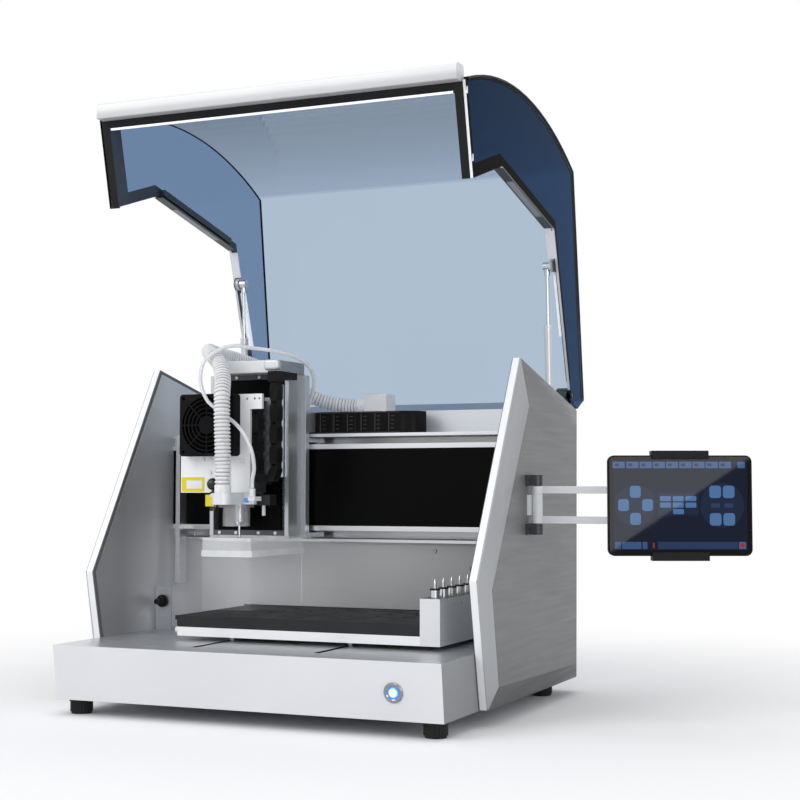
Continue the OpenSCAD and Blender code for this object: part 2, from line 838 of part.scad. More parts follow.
// Hood hinges and the lower ends of the gas struts, on the back of the cabinet
module hood_brackets() {
  ear = 8;
  color("dimgray") both_sides() {
    translate([hinge_block_x - hinge_block_w / 2, 0, 0]) across_from(hinge_block_w) {
      translate([hinge_y, hinge_z]) circle(r = 9);
      polygon([
        [back_y, hinge_z - 46],
        [back_y, hinge_z - 20],
        [hinge_y - 8.2, hinge_z + 3.7],
        [hinge_y + 7.9, hinge_z - 4.3],
        [back_y + 12, hinge_z - 46]
      ]);
    }
    translate([hinge_block_x, hinge_y, hinge_z]) rotate([0, 90, 0]) {
      cylinder(r = hinge_pin_r, h = plate_x - hinge_block_x - 0.5);
    }
    // Strut foot: base, ear and pin
    box(
      [strut_x - 6, hood_inner_x - 1.2],
      [strut_low[0] - 12, strut_low[0] + 12],
      [cabinet_top, cabinet_top + 2]
    );
    translate([strut_x + strut_eye_w / 2 + 0.5, 0, 0]) across_from(4) {
      translate(strut_low) circle(r = ear);
      translate([strut_low[0] - ear, cabinet_top + 1]) square([2 * ear, strut_low[1] - cabinet_top]);
    }
    translate([strut_x - strut_eye_w / 2 - 1, strut_low[0], strut_low[1]]) rotate([0, 90, 0]) {
      cylinder(r = strut_pin_r, h = strut_eye_w + 4);
      translate([0, 0, -1]) cylinder(r = strut_pin_r + 1.6, h = 1.6);
    }
  }
}

// Brackets and upright pin of the swing arm, on the right side panel
module arm_brackets() {
  face = half + panel_thickness;
  color("whitesmoke") box([face, face + 3], [5, 46], [arm_z - 11.5, arm_z + 11]);
  color("#3a3c40") {
    for (z = arm_bracket_z) {
      translate([face, arm_pin[1], z]) {
        difference() {
          linear_extrude(bracket_h) {
            translate([0, -15]) square([3, 30]);
            translate([0, -6]) square([arm_pin[0] - face, 12]);
            translate([arm_pin[0] - face, 0]) circle(r = 6);
          }
          for (s = [-1, 1]) {
            translate([3, s * 10.5, bracket_h / 2]) rotate([0, 90, 0]) {
              cylinder(r = 1.7, h = 10, center = true);
            }
          }
        }
      }
    }
    translate([arm_pin[0], arm_pin[1], arm_bracket_z[0] + 1]) {
      cylinder(r = arm_pin_r, h = arm_bracket_z[1] - arm_bracket_z[0] + bracket_h - 2);
    }
  }
}

// Carriage on the gantry rails. The saddle wraps round the cover, above and below it.
module x_bearing() {
  difference() {
    cube([block_length, block_height, block_width], center = true);
    translate([0, block_height / 2, 0]) {
      cube([block_length + 2, 10.4, rail_width + 0.4], center = true);
    }
  }
}
module x_carriage() {
  hook_top_z = [hook_top - 5.5, hook_top];
  hook_low_z = [hook_low, cover_bottom - cover_strip - 2];
  saddle_half = 50;
  color("silver") translate([carriage_x, 0, 0]) {
    box([-plate_half, plate_half], [plate_y, plate_y + 10], [hook_low, z_top]);
    box([-plate_half, plate_half], [plate_y + 9, saddle_y + saddle_thickness], hook_top_z);
    box([-plate_half, plate_half], [plate_y + 9, saddle_y + saddle_thickness], hook_low_z);
    difference() {
      union() {
        box(
          [-saddle_half, saddle_half],
          [saddle_y, saddle_y + saddle_thickness],
          [hook_low, rail_z_low + block_width / 2]
        );
        box(
          [-saddle_half, saddle_half],
          [saddle_y, saddle_y + saddle_thickness],
          [rail_z_high - block_width / 2, hook_top]
        );
        box([-24, 24], [saddle_y, saddle_y + saddle_thickness], [rail_z_low, rail_z_high]);
        translate([-20, x_screw_y - 9, x_screw_z - 12]) cube([40, saddle_y - x_screw_y + 10, 24]);
      }
      translate([0, x_screw_y, x_screw_z]) rotate([0, 90, 0]) {
        cylinder(r = screw_r + run_gap, h = 200, center = true);
      }
    }
    box([plate_half - 6, plate_half], [plate_y + 4, chain_y + 6], [shelf_top + 2, shelf_top + 27]);
    for (s = [-1, 1], z = [rail_z_low, rail_z_high]) {
      translate([s * 32, saddle_y + saddle_thickness + block_height / 2, z]) x_bearing();
    }
  }
}

// Lift housing: an open-fronted channel with its own rails, on the carriage plate
module z_housing() {
  w = z_width / 2;
  color("silver") translate([carriage_x, 0, 0]) {
    translate([0, 0, z_bottom]) linear_extrude(z_top - z_bottom) polygon([
      [-w, z_front], [-w, z_back], [w, z_back], [w, z_front],
      [w - z_wall, z_front], [w - z_wall, z_back - z_wall],
      [-w + z_wall, z_back - z_wall], [-w + z_wall, z_front]
    ]);
    difference() {
      box([-w + z_wall - 1, w - z_wall + 1], [z_front + 4.2, z_back], [z_bottom, z_bottom + 4]);
      translate([0, z_screw_y, z_bottom]) cylinder(r = z_screw_r + run_gap, h = 30, center = true);
    }
    difference() {
      box([-w + z_wall - 1, w - z_wall + 1], [z_front + 4.2, z_back], [z_top - 4, z_top]);
      translate([0, z_screw_y, z_top]) cylinder(r = z_screw_r + run_gap, h = 30, center = true);
    }
  }
}
module z_rails() {
  color("lightsteelblue") translate([carriage_x, 0, 0]) for (s = [-1, 1]) {
    translate([s * z_rail_x, 0, 0]) box(
      [-z_rail_w / 2, z_rail_w / 2],
      [z_back - z_wall - z_rail_h, z_back - z_wall],
      [z_bottom + 6, z_top - 6]
    );
  }
}
module z_cap() {
  left = -34;
  right = z_width / 2 - 0.5;
  front = z_front - 24;
  back = z_back + 10;
  r = 9;
  color("white") translate([carriage_x, 0, z_top]) difference() {
    box(
      [z_motor_x - 15, z_motor_x + 15],
      [back - 1, z_motor_y + 14],
      [0, cap_height - 3]
    );
    box(
      [z_motor_x - 13, z_motor_x + 13],
      [back - 5, z_motor_y + 12],
      [-1, cap_height - 5]
    );
  }
  color("white") translate([carriage_x, 0, z_top]) difference() {
    linear_extrude(cap_height) {
      translate([left, front + r]) square([right - left, back - front - r]);
      translate([left + r, front]) square([right - left - 2 * r, r + 1]);
      for (x = [left + r, right - r]) {
        translate([x, front + r]) circle(r = r);
      }
    }
    translate([left + 2.5, z_front + 3, -1]) {
      cube([right - left - 5, back - z_front - 5.5, cap_height - 1.5]);
    }
    box([z_motor_x - 13, z_motor_x + 13], [back - 5, back + 2], [-1, cap_height - 5]);
  }
}
module z_cover() {
  strip_h = 6;
  cover_half = slot_inner - 6;
  y = z_front + 2;
  strip_sheet = 1.2;
  color("#1b1b1d") translate([carriage_x, 0, 0]) {
    box([-cover_half, cover_half], [y, y + 1.2], [z_bottom + 2, z_top - 2]);
  }
  for (z = [z_bottom, z_top - strip_h]) {
    translate([carriage_x, 0, z]) {
      color("dimgray") box([-slot_inner, slot_inner], [y - strip_sheet, y], [0, strip_h]);
      color("silver") for (x = strip_screws) {
        translate([x, y - strip_sheet, strip_h / 2]) rotate([90, 0, 0]) screw_head(1.9);
      }
    }
  }
}
module z_motor() {
  bracket = 3;
  color("#303236") translate([carriage_x + z_motor_x, z_motor_y, z_top - bracket]) {
    rotate([180, 0, 0]) linear_extrude(motor_length) rounded(motor_size, motor_size, 4);
    translate([0, 0, 0]) cylinder(r = 2.5, h = 12);
  }
  color("silver") translate([carriage_x + z_motor_x, 0, z_top - bracket]) difference() {
    box([-20, 20], [plate_y + 10, z_motor_y + 19], [0, bracket]);
    translate([0, z_motor_y, 0]) cylinder(r = 10, h = 20, center = true);
  }
}

// Clear guard round the cutting area: bars under the housing, and a soft curtain
module chip_guard() {
  plate_h = 3.5;
  arm = 3.4;
  back = z_back - 4;
  color([0.85, 0.93, 0.97, 0.5]) translate([carriage_x, 0, 0]) {
    box([-z_width / 2, guard_right], [z_front, back], [z_bottom - plate_h, z_bottom]);
    box([guard_right - arm, guard_right], [guard_front, back], [z_bottom - plate_h, z_bottom]);
    box([guard_left, guard_right], [guard_front, guard_front + arm],
      [z_bottom - plate_h, z_bottom]);
    box([guard_right - guard_wall, guard_right], [guard_front, back],
      [guard_bar_z, z_bottom - plate_h]);
    box([guard_left, guard_right], [guard_front, guard_front + guard_wall],
      [guard_bar_z, z_bottom - plate_h]);
    box([guard_left, guard_right], [guard_front - 2, guard_front], [guard_bar_z, guard_bar_z + 7]);
    box([guard_right, guard_right + 2], [guard_front - 2, back], [guard_bar_z, guard_bar_z + 7]);
  }
}
module guard_curtain() {
  back = z_back - 4;
  film = 0.8;
  color([0.85, 0.93, 0.97, 0.35]) translate([carriage_x, 0, 0]) {
    box([guard_left, guard_right - 1], [guard_front + 1, guard_front + 1 + film],
      [curtain_foot, guard_bar_z]);
    box([guard_right - 1 - film, guard_right - 1], [guard_front + 1, back],
      [curtain_foot, guard_bar_z]);
  }
}
module z_ballscrew() {
  top = z_top + 9;
  color("silver") translate([carriage_x, z_screw_y, z_bottom + 0.5]) {
    cylinder(r = z_screw_r, h = top - z_bottom - 1);
    translate([0, 0, z_top - z_bottom + 1]) cylinder(r = 8, h = 7);
  }
}

// Lift saddle: inner bar and bearings inside the housing, webs through the side slots, front plate
module z_saddle() {
  web = 3.5;
  web_x = slot_inner - 1 - web;
  front = z_front - 7;
  color("silver") translate([carriage_x, 0, 0]) {
    difference() {
      union() {
        box([-web_x - web, web_x + web], [z_saddle_y, z_saddle_y + 6], z_saddle_z);
        box([-11, 11], [z_saddle_y, z_back - z_wall - 2], [z_saddle_z[0] + 24, z_saddle_z[1] - 24]);
      }
      translate([0, z_screw_y, 0]) cylinder(r = z_screw_r + run_gap, h = 900);
      // The screw runs in front of the bar above and below the nut
      box([-6, 6], [z_saddle_y + 1, z_saddle_y + 9], [z_saddle_z[0] - 1, z_saddle_z[0] + 24]);
      box([-6, 6], [z_saddle_y + 1, z_saddle_y + 9], [z_saddle_z[1] - 24, z_saddle_z[1] + 1]);
    }
    for (s = [-1, 1]) {
      translate([s * (web_x + web / 2), 0, 0]) {
        box([-web / 2, web / 2], [front + 1, z_saddle_y + 1], z_saddle_z);
      }
      for (z = [z_saddle_z[0] + 16, z_saddle_z[1] - 16]) {
        translate([s * z_rail_x, z_saddle_y + 6 + 4, z]) difference() {
          cube([20, 8, 28], center = true);
          translate([0, 4, 0]) cube([z_rail_w + 0.4, 9.4, 40], center = true);
        }
      }
    }
    box([-web_x - web, web_x + web], [front, front + 6], z_plate_z);
  }
}

// Spindle
module spindle_housing() {
  back = z_front - 7;
  z = [plate_base, plate_base + 108];
  color("#4a4c50") translate([carriage_x, 0, 0]) difference() {
    union() {
      box([-spindle_half, spindle_half], [plate_front_y + plate_sheet, back], z);
      translate([0, spindle_y, z[0] - 0.3]) cylinder(r = 15, h = 1);
    }
    translate([0, spindle_y, 0]) cylinder(r = shaft_r + run_gap, h = 900);
    for (i = [0:5]) {
      translate([0, (plate_front_y + back) / 2, z[0] + 34 + i * 12]) difference() {
        cube([2 * spindle_half + 2, 100, 4], center = true);
        cube([2 * spindle_half - 8, 102, 5], center = true);
      }
    }
  }
}
module spindle_plate() {
  right = plate_left + plate_width;
  tab = 15.5;
  tab_h = 17.5;
  top = plate_base + plate_height;
  color("white") translate([carriage_x, plate_front_y + plate_sheet, 0]) rotate([90, 0, 0]) {
    linear_extrude(plate_sheet) difference() {
      union() {
        translate([plate_left, plate_base]) square([plate_width, plate_height - 4]);
        translate([-26, plate_base]) square([right + 26, plate_height]);
        translate([right - 1, top - tab_h]) square([tab + 1, tab_h]);
      }
      for (x = [right + 12, right + 6, right - 4]) {
        translate([x, top - 5.5]) circle(r = 1.3, $fn = 24);
      }
    }
  }
  color("dimgray") for (p = plate_screws) {
    translate([carriage_x + p[0], plate_front_y, plate_base + p[1]]) rotate([90, 0, 0]) {
      screw_head(p[2]);
    }
  }
}

// Fan: frame, ring and spoke guard, and a bladed rotor
module at_fan() {
  translate([carriage_x + fan_x, plate_front_y, fan_z]) rotate([90, 0, 0]) children();
}
module fan_frame() {
  hole = fan_size / 2 - 3;
  hub = 10.6;
  color("#222326") at_fan() {
    difference() {
      linear_extrude(fan_depth) rounded(fan_size, fan_size, 4);
      translate([0, 0, -1]) cylinder(r = hole, h = fan_depth + 2);
      for (sx = [-1, 1], sy = [-1, 1]) {
        translate([sx * (fan_size / 2 - 5), sy * (fan_size / 2 - 5), fan_depth - 3]) {
          cylinder(r = 2, h = 10, $fn = 24);
        }
      }
    }
    translate([0, 0, fan_depth - 2.2]) linear_extrude(2.2) {
      for (r = fan_ring_r) {
        difference() {
          circle(r = r + 0.8);
          circle(r = r - 0.8);
        }
      }
      circle(r = hub);
      for (a = [0:45:315]) {
        rotate(a) translate([hub - 1, -0.8]) square([hole - hub + 1.5, 1.6]);
      }
    }
    linear_extrude(1.5) {
      circle(r = hub);
      for (a = [45:90:315]) {
        rotate(a) translate([hub - 1, -2]) square([hole - hub + 1.5, 4]);
      }
    }
    cylinder(r = 2, h = fan_depth - 4);
  }
}
module fan_rotor() {
  hub = 9.4;
  blades = 7;
  blade_r = fan_size / 2 - 4.2;
  color("#17181a") at_fan() translate([0, 0, 2.4]) difference() {
    union() {
      cylinder(r = hub, h = fan_depth - 5.4);
      for (i = [0:blades - 1]) {
        rotate(i * 360 / blades) translate([hub - 1, 0, (fan_depth - 5.4) / 2]) {
          rotate([38, 0, 0]) translate([0, -7, -0.6]) cube([blade_r - hub, 14, 1.2]);
        }
      }
    }
    translate([0, 0, -1]) cylinder(r = 2 + run_gap, h = fan_depth);
    translate([0, 0, fan_depth - 5.4]) cylinder(r = 60, h = 20);
    translate([0, 0, -20]) cylinder(r = 60, h = 20);
  }
}
module spindle_shaft() {
  nose_top = plate_base - 22;
  nose = 16;
  tip = z_bottom - 3;
  color("silver") translate([carriage_x, spindle_y, 0]) {
    translate([0, 0, nose_top]) cylinder(r = shaft_r, h = 128);
    translate([0, 0, nose_top - nose + 4]) cylinder(r = shaft_r, h = nose - 3);
    translate([0, 0, nose_top - nose]) cylinder(r1 = shaft_r - 1.6, r2 = shaft_r, h = 4);
    translate([0, 0, tip + 1]) cylinder(r = tool_r, h = nose_top - nose - tip);
    translate([0, 0, tip]) cylinder(r1 = tool_r * 0.3, r2 = tool_r, h = 1);
  }
}

// Dust shoe under the spindle, with the hose socket in front and a clear ring below
module dust_shoe() {
  h = 13;
  wall = 2.6;
  color("gainsboro") translate([carriage_x, 0, shoe_top - h]) difference() {
    linear_extrude(h) {
      translate([-4, spindle_y]) circle(r = 20);
      translate([hose_x, hose_y]) circle(r = hose_r + wall);
      translate([hose_x - hose_r - wall, hose_y]) square([2 * (hose_r + wall), spindle_y - hose_y]);
      translate([0, spindle_y - 32]) square([37, 22]);
    }
    translate([hose_x, hose_y, 4]) cylinder(r = hose_r + 0.2, h = h);
    translate([0, spindle_y, -1]) cylinder(r = shaft_r + 2.5, h = h + 2);
    translate([hose_x - 6, hose_y, 4]) cube([12, spindle_y - hose_y, 5]);
  }
  // Lug and pin of the release lever
  color("dimgray") translate([carriage_x, 0, 0]) {
    box([-21, -9], [-59.5, -40], [shoe_top - 9, shoe_top]);
    translate([lever_pin[0], -59, lever_pin[1]]) rotate([90, 0, 0]) cylinder(r = 2, h = 7);
  }
  // Air nozzle on the right of the shoe
  color("#1b1b1d") translate([carriage_x, 0, 0]) {
    box([37, 54], [spindle_y - 26, spindle_y - 10], [shoe_top - 14, shoe_top - 2]);
  }
  color("white") translate([carriage_x, 0, 0]) {
    translate([39, -67, shoe_top - 4]) cylinder(r = 3.6, h = 9);
    translate([42, spindle_y - 18, shoe_top - 26]) cylinder(r = 2, h = 13, $fn = 24);
    box([34, 43], [-69, spindle_y - 25], [shoe_top - 9, shoe_top - 4]);
  }
}
module shoe_window() {
  top = shoe_top - 13;
  color([0.85, 0.93, 0.97, 0.5]) translate([carriage_x, 0, 0]) {
    translate([-4, spindle_y, top - 4]) difference() {
      cylinder(r = 21, h = 4);
      translate([4, 0, -1]) cylinder(r = shaft_r + 2.5, h = 10);
    }
    translate([-4, spindle_y, top - 26]) difference() {
      cylinder(r = 16, h = 22.5);
      translate([0, 0, -1]) cylinder(r = 13.5, h = 30);
    }
  }
}
module release_lever() {
  plate = 3.5;
  color("#2a2a2c") translate([carriage_x + lever_pin[0], spindle_y - 34, lever_pin[1]]) {
    difference() {
      rotate([90, 0, 0]) linear_extrude(plate) {
        circle(r = 4.6);
        translate([-3.2, -17]) square([6.4, 17]);
      }
      rotate([90, 0, 0]) cylinder(r = 2 + run_gap, h = 20, center = true);
    }
    translate([0, -plate / 2, 4]) cylinder(r = 1.5, h = 6);
    translate([0, -plate / 2, 13]) sphere(r = 7.2);
    translate([0, -plate / 2, -18]) cylinder(r = 3.6, h = 5);
  }
}

// Bed: carriage under the deck, white plate, black work slab and tool rack
module bed_saddle() {
  z1 = y_block_top + y_saddle_thickness;
  span = [bed_front + 22, bed_front + bed_depth - 48];
  color("silver") {
    difference() {
      union() {
        box([-leg_x - 17, leg_x + 17], span, [y_block_top, z1]);
        box([-15, 15], [-34, 6], [y_screw_z - 11, y_block_top + 1]);
      }
      translate([0, 0, y_screw_z]) rotate([90, 0, 0]) {
        cylinder(r = screw_r + run_gap, h = 900, center = true);
      }
      for (s = [-1, 1]) {
        translate([s * 44, -8, z1]) cube([28, 90, 30], center = true);
      }
    }
    for (s = [-1, 1]) {
      translate([s * leg_x, 0, 0]) {
        box([-leg_thickness / 2, leg_thickness / 2], span, [z1 - 1, bed_bottom]);
        for (y = [span[0] + block_length / 2, span[1] - block_length / 2]) {
          translate([0, y, y_block_top - block_height / 2]) difference() {
            cube([block_width, block_length, block_height], center = true);
            translate([0, 0, -block_height / 2]) {
              cube([rail_width + 0.4, block_length + 2, 10.4], center = true);
            }
          }
        }
      }
    }
  }
}
module bed_plate() {
  x = [bed_x - bed_width / 2, bed_x + bed_width / 2];
  color("white") difference() {
    box(x, [bed_front, bed_front + bed_depth], [bed_bottom, slab_bottom]);
    for (sx = [-1, 1], y = [0, 1, 2]) {
      translate([sx * leg_x, bed_front + 30 + y * 60, bed_bottom]) cylinder(r = 2.1, h = 12, center = true);
    }
  }
  color("#1d1d1f") translate([x[0], bed_front + 9, bed_bottom + 6]) rotate([0, -90, 0]) {
    cylinder(r = 2, h = 3);
    translate([0, 0, 2.5]) cylinder(r = 3.6, h = 4);
  }
}
module bed_slab() {
  color("#303033") difference() {
    union() {
      box(
        [bed_x - bed_width / 2 + 0.5, bed_x + bed_width / 2],
        [bed_front + 0.5, bed_front + bed_depth],
        [slab_bottom, bed_top]
      );
      translate([bed_x - bed_width / 2 - 1.5, bed_front + 4, slab_bottom + 0.5]) {
        cylinder(r = 1.4, h = slab_thickness - 2);
        translate([0, 0, slab_thickness - 5.5]) cylinder(r = 3.4, h = 4.5);
      }
    }
    for (ix = [-3:3], iy = [-2:2]) {
      translate([bed_x + ix * slab_hole_pitch, bed_mid_y + iy * slab_hole_pitch, slab_bottom - 1]) {
        cylinder(r = slab_hole_r, h = slab_thickness + 2, $fn = 32);
      }
    }
  }
}
module tool_rack() {
  color("gainsboro") difference() {
    box(
      [rack_x - rack_width / 2, rack_x + rack_width / 2],
      [bed_front, bed_front + bed_depth],
      [bed_bottom, rack_top]
    );
    for (i = [0:tool_count - 1]) {
      translate([rack_x, rack_first + i * tool_pitch, rack_top - rack_bore]) {
        cylinder(r = rack_shank_r + seat_gap, h = rack_bore + 1, $fn = 32);
      }
      translate([rack_x + rack_width / 2, rack_first + i * tool_pitch, rack_top - 8]) {
        rotate([0, 90, 0]) cylinder(r = 1.4, h = 8, center = true, $fn = 24);
      }
    }
    translate([rack_x - 7, bed_front + 5, rack_top - 1.2]) cube([14, bed_depth - 10, 2]);
  }
}
module rack_tools() {
  seat = rack_top - 1.2;
  color("silver") for (i = [0:tool_count - 1]) {
    translate([rack_x, rack_first + i * tool_pitch, 0]) {
      translate([0, 0, rack_top - rack_bore])
        cylinder(r = rack_shank_r, h = rack_tool_top - rack_top + rack_bore - 4, $fn = 24);
      translate([0, 0, rack_tool_top - 4]) cylinder(r1 = rack_shank_r, r2 = 0.5, h = 4, $fn = 24);
      translate([0, 0, seat]) cylinder(r = collar_r, h = collar_height, $fn = 32);
      translate([0, 0, seat + collar_height]) cylinder(r = collar_r + 0.6, h = 1.8, $fn = 32);
    }
  }
}

// Hood, turned back about its hinge
module hood_profile() {
  t = hood_sheet_thickness;
  crown = arc_points(
    centre_of(sheet_knee, sheet_crown, sheet_end), sheet_knee, sheet_end, 16
  );
  inner = arc_points(
    centre_of(sheet_knee, sheet_crown, sheet_end),
    sheet_knee + t * unit(centre_of(sheet_knee, sheet_crown, sheet_end) - sheet_knee),
    sheet_end + t * unit(centre_of(sheet_knee, sheet_crown, sheet_end) - sheet_end),
    16
  );
  d = unit(sheet_knee - sheet_foot);
  foot_inner = sheet_foot + t * [-d[1], d[0]];
  polygon(concat([sheet_foot], crown, [for (i = [16:-1:0]) inner[i]], [foot_inner]));
}
module hood_sheet() {
  color([0.75, 0.84, 0.93, 0.45]) across(2 * plate_x) hood_profile();
}
module plate_profile() {
  t = hood_sheet_thickness + 0.0;
  c = centre_of(sheet_knee, sheet_crown, sheet_end);
  d = unit(sheet_knee - sheet_foot);
  inner = arc_points(c, sheet_knee + t * unit(c - sheet_knee), sheet_end + t * unit(c - sheet_end), 16);
  polygon(concat(
    [plate_toe, sheet_foot + t * [-d[1], d[0]]],
    inner,
    [h4_top + [1, 1], h43, h32, h21, h10]
  ));
}
module hood_plates() {
  color([0.4, 0.5, 0.62, 0.55]) both_sides() {
    translate([hood_inner_x, 0, 0]) difference() {
      across_from(hood_plate_thickness) union() {
        plate_profile();
        translate([hinge_y, hinge_z]) circle(r = 12);
      }
      translate([0, hinge_y, hinge_z]) rotate([0, 90, 0]) {
        cylinder(r = hinge_pin_r + run_gap, h = 30, center = true);
      }
    }
  }
}
// Black border along the free edges of the side plates, on their inner faces, and the
// brackets that take the upper ends of the gas struts
function mitre(p, i, m) =
  let(
    a = max(i, 1),
    b = min(i + 1, len(p) - 1),
    d0 = unit(p[a] - p[a - 1]),
    d1 = unit(p[b] - p[b - 1]),
    n0 = [-d0[1], d0[0]],
    u = unit(n0 + [-d1[1], d1[0]])
  )
  p[i] + u * m / (u * n0);
module front_strip(from, to, thick) {
  polygon([
    front_top + front_run * from,
    front_top + front_run * to,
    front_top + front_run * to + front_in * thick,
    from == 0 ? front_top + [thick / front_in[0], 0] : front_top + front_run * from + front_in * thick
  ]);
}
module hood_trim() {
  edge = [front_top, h43, h32, h21, h10 + (h21 - h10) * 0.12];
  inside = [for (i = [len(edge) - 1:-1:1]) mitre(edge, i, border_width)];
  top_inside = front_top + [border_width / front_in[0], 0];
  color("#0c0c0e") {
    both_sides() {
      translate([hood_inner_x - border_sheet, 0, 0]) {
        across_from(border_sheet) polygon(concat(edge, inside, [top_inside]));
      }
      translate([hood_inner_x - frame_side, 0, 0]) {
        across_from(frame_side - border_sheet / 2) front_strip(0, norm(h43 - front_top), 2);
      }
    }
    across(2 * hood_inner_x - frame_side) front_strip(0, frame_top, 2);
  }
  color("#1a1a1c") both_sides() {
    translate([strut_x + strut_eye_w / 2 + 0.5, 0, 0]) {
      across_from(hood_inner_x - strut_x - strut_eye_w / 2 - 0.5) {
        translate(strut_top) circle(r = 8);
      }
    }
  }
}
// Handle bar along the front edge of the hood
module handle_bar() {
  color("gainsboro") across(2 * bar_end_x) translate([bar_y, bar_z]) {
    translate([bar_depth / 2, bar_height / 2]) rounded(bar_depth, bar_height, 5);
    square([bar_depth, 8]);
  }
}

// Light bars along the side plates, and the light strip under the handle bar
module edge_bar(a, b, from, to, inset, w) {
  d = unit(b - a);
  n = [-d[1], d[0]];
  polygon([
    a + d * from - n * inset,
    a + d * to - n * inset,
    a + d * to - n * (inset + w),
    a + d * from - n * (inset + w)
  ]);
}
module light_bars() {
  inner = hood_inner_x - border_sheet;
  color("white") both_sides() {
    translate([inner - 6, 0, 0]) across_from(6) {
      edge_bar(h21, h32, 14, norm(h32 - h21) - 10, 5, 8);
    }
    translate([inner - 5, 0, 0]) across_from(5) {
      edge_bar(h10, h21, norm(h21 - h10) - 136, norm(h21 - h10) - 58, 5, 8);
    }
  }
  color("white") {
    across(2 * (hood_inner_x - frame_side - 1)) front_strip(frame_top, frame_top + 2.6, 7);
  }
}

// Gas struts: the cylinder turns on the cabinet, the rod ends at the hood
module along_strut() {
  translate([strut_x, strut_low[0], strut_low[1]]) rotate([strut_angle - 90, 0, 0]) children();
}
module strut_cylinder_part() {
  color("lightgray") along_strut() difference() {
    union() {
      rotate([0, 90, 0]) cylinder(r = 6, h = strut_eye_w, center = true);
      translate([0, 0, 4]) cylinder(r = strut_r, h = strut_cylinder - 4);
      translate([0, 0, strut_cylinder - 8]) cylinder(r = strut_r + 0.8, h = 8);
    }
    rotate([0, 90, 0]) cylinder(r = strut_pin_r + run_gap, h = 40, center = true);
    translate([0, 0, strut_bore_foot]) cylinder(r = strut_rod_r + run_gap, h = 200);
  }
}
module strut_rod_part() {
  color("silver") along_strut() {
    translate([0, 0, strut_rod_foot]) cylinder(r = strut_rod_r, h = strut_open - strut_rod_foot - 4);
    translate([0, 0, strut_open]) rotate([0, 90, 0]) cylinder(r = 5.5, h = strut_eye_w, center = true);
    translate([0, 0, strut_open - 12]) cylinder(r = 3.4, h = 8);
  }
}
module strut_cylinder_right() {
  strut_cylinder_part();
}
module strut_cylinder_left() {
  translate([-2 * strut_x, 0, 0]) strut_cylinder_part();
}
module strut_rod_right() {
  strut_rod_part();
}
module strut_rod_left() {
  translate([-2 * strut_x, 0, 0]) strut_rod_part();
}

// Swing arm of the touch panel: two bars and an upright spacer
module swing_arm() {
  bar_y = 3;
  color("whitesmoke") {
    for (s = [-1, 1]) {
      translate([0, arm_pin[1], arm_z + s * arm_bar_pitch / 2 - arm_bar / 2]) {
        linear_extrude(arm_bar) difference() {
          union() {
            capsule([arm_pin[0], 0], [holder_pin_x, 0], bar_y);
            translate([arm_pin[0], 0]) circle(r = 6.5);
            translate([holder_pin_x, 0]) circle(r = 6.5);
          }
          translate([arm_pin[0], 0]) circle(r = arm_pin_r + run_gap);
        }
      }
    }
    translate([holder_pin_x, arm_pin[1], arm_z - arm_bar_pitch / 2]) {
      cylinder(r = arm_pin_r, h = arm_bar_pitch);
    }
    translate([arm_pin[0], arm_pin[1], arm_z]) difference() {
      cylinder(r = arm_sleeve_r, h = arm_bar_pitch - arm_bar + 1, center = true);
      cylinder(r = arm_pin_r + run_gap, h = arm_bar_pitch, center = true);
    }
  }
}

// Touch panel with its holder, and the sprung jaw over its top edge
module at_holder() {
  translate([holder_pin_x, arm_pin[1], arm_z]) rotate([0, 0, tablet_turn]) children();
}
module tablet() {
  gap = arm_bar_pitch - arm_bar;
  h = tablet_height;
  at_holder() {
    color("#18181a") translate([0, tablet_back, 0]) rotate([90, 0, 0]) {
      linear_extrude(tablet_thickness - 1.2) rounded(tablet_width, h, 7);
      translate([0, 0, tablet_thickness - 1.2]) linear_extrude(1.2) {
        rounded(tablet_width - 1.6, h - 1.6, 6.2);
      }
    }
    color("#1c1c1e") {
      difference() {
        union() {
          translate([0, 0, -gap / 2 + 0.6]) cylinder(r = 6.5, h = gap - 1.2);
          box([-6, 6], [tablet_back + 1, 0], [-gap / 2 + 0.6, gap / 2 - 0.6]);
        }
        cylinder(r = arm_pin_r + run_gap, h = 200, center = true);
      }
      box([-22, 22], [tablet_back, tablet_back + 3], [-h / 2 - 5, h / 2 - 8]);
      for (s = [-1, 1]) {
        translate([s * 16.2, 0, 0]) {
          box([-1.8, 1.8], [tablet_back + 2.5, tablet_back + 6], [22, h / 2 - 8]);
        }
      }
      box([-jaw_width / 2, jaw_width / 2], [tablet_back - tablet_thickness - 3, tablet_back + 3],
        [-h / 2 - 5, -h / 2]);
      box([-jaw_width / 2, jaw_width / 2],
        [tablet_back - tablet_thickness - 3, tablet_back - tablet_thickness],
        [-h / 2 - 5, -h / 2 + 4]);
    }
  }
}
module clamp_jaw() {
  h = tablet_height;
  back = tablet_back + 3;
  color("#1c1c1e") at_holder() {
    box([-14, 14], [back, back + 2.6], [24, h / 2 + 5]);
    box([-jaw_width / 2, jaw_width / 2], [tablet_back - tablet_thickness - 3, back + 2.6],
      [h / 2, h / 2 + 5]);
    box([-jaw_width / 2, jaw_width / 2],
      [tablet_back - tablet_thickness - 3, tablet_back - tablet_thickness],
      [h / 2 - 4, h / 2 + 5]);
  }
}

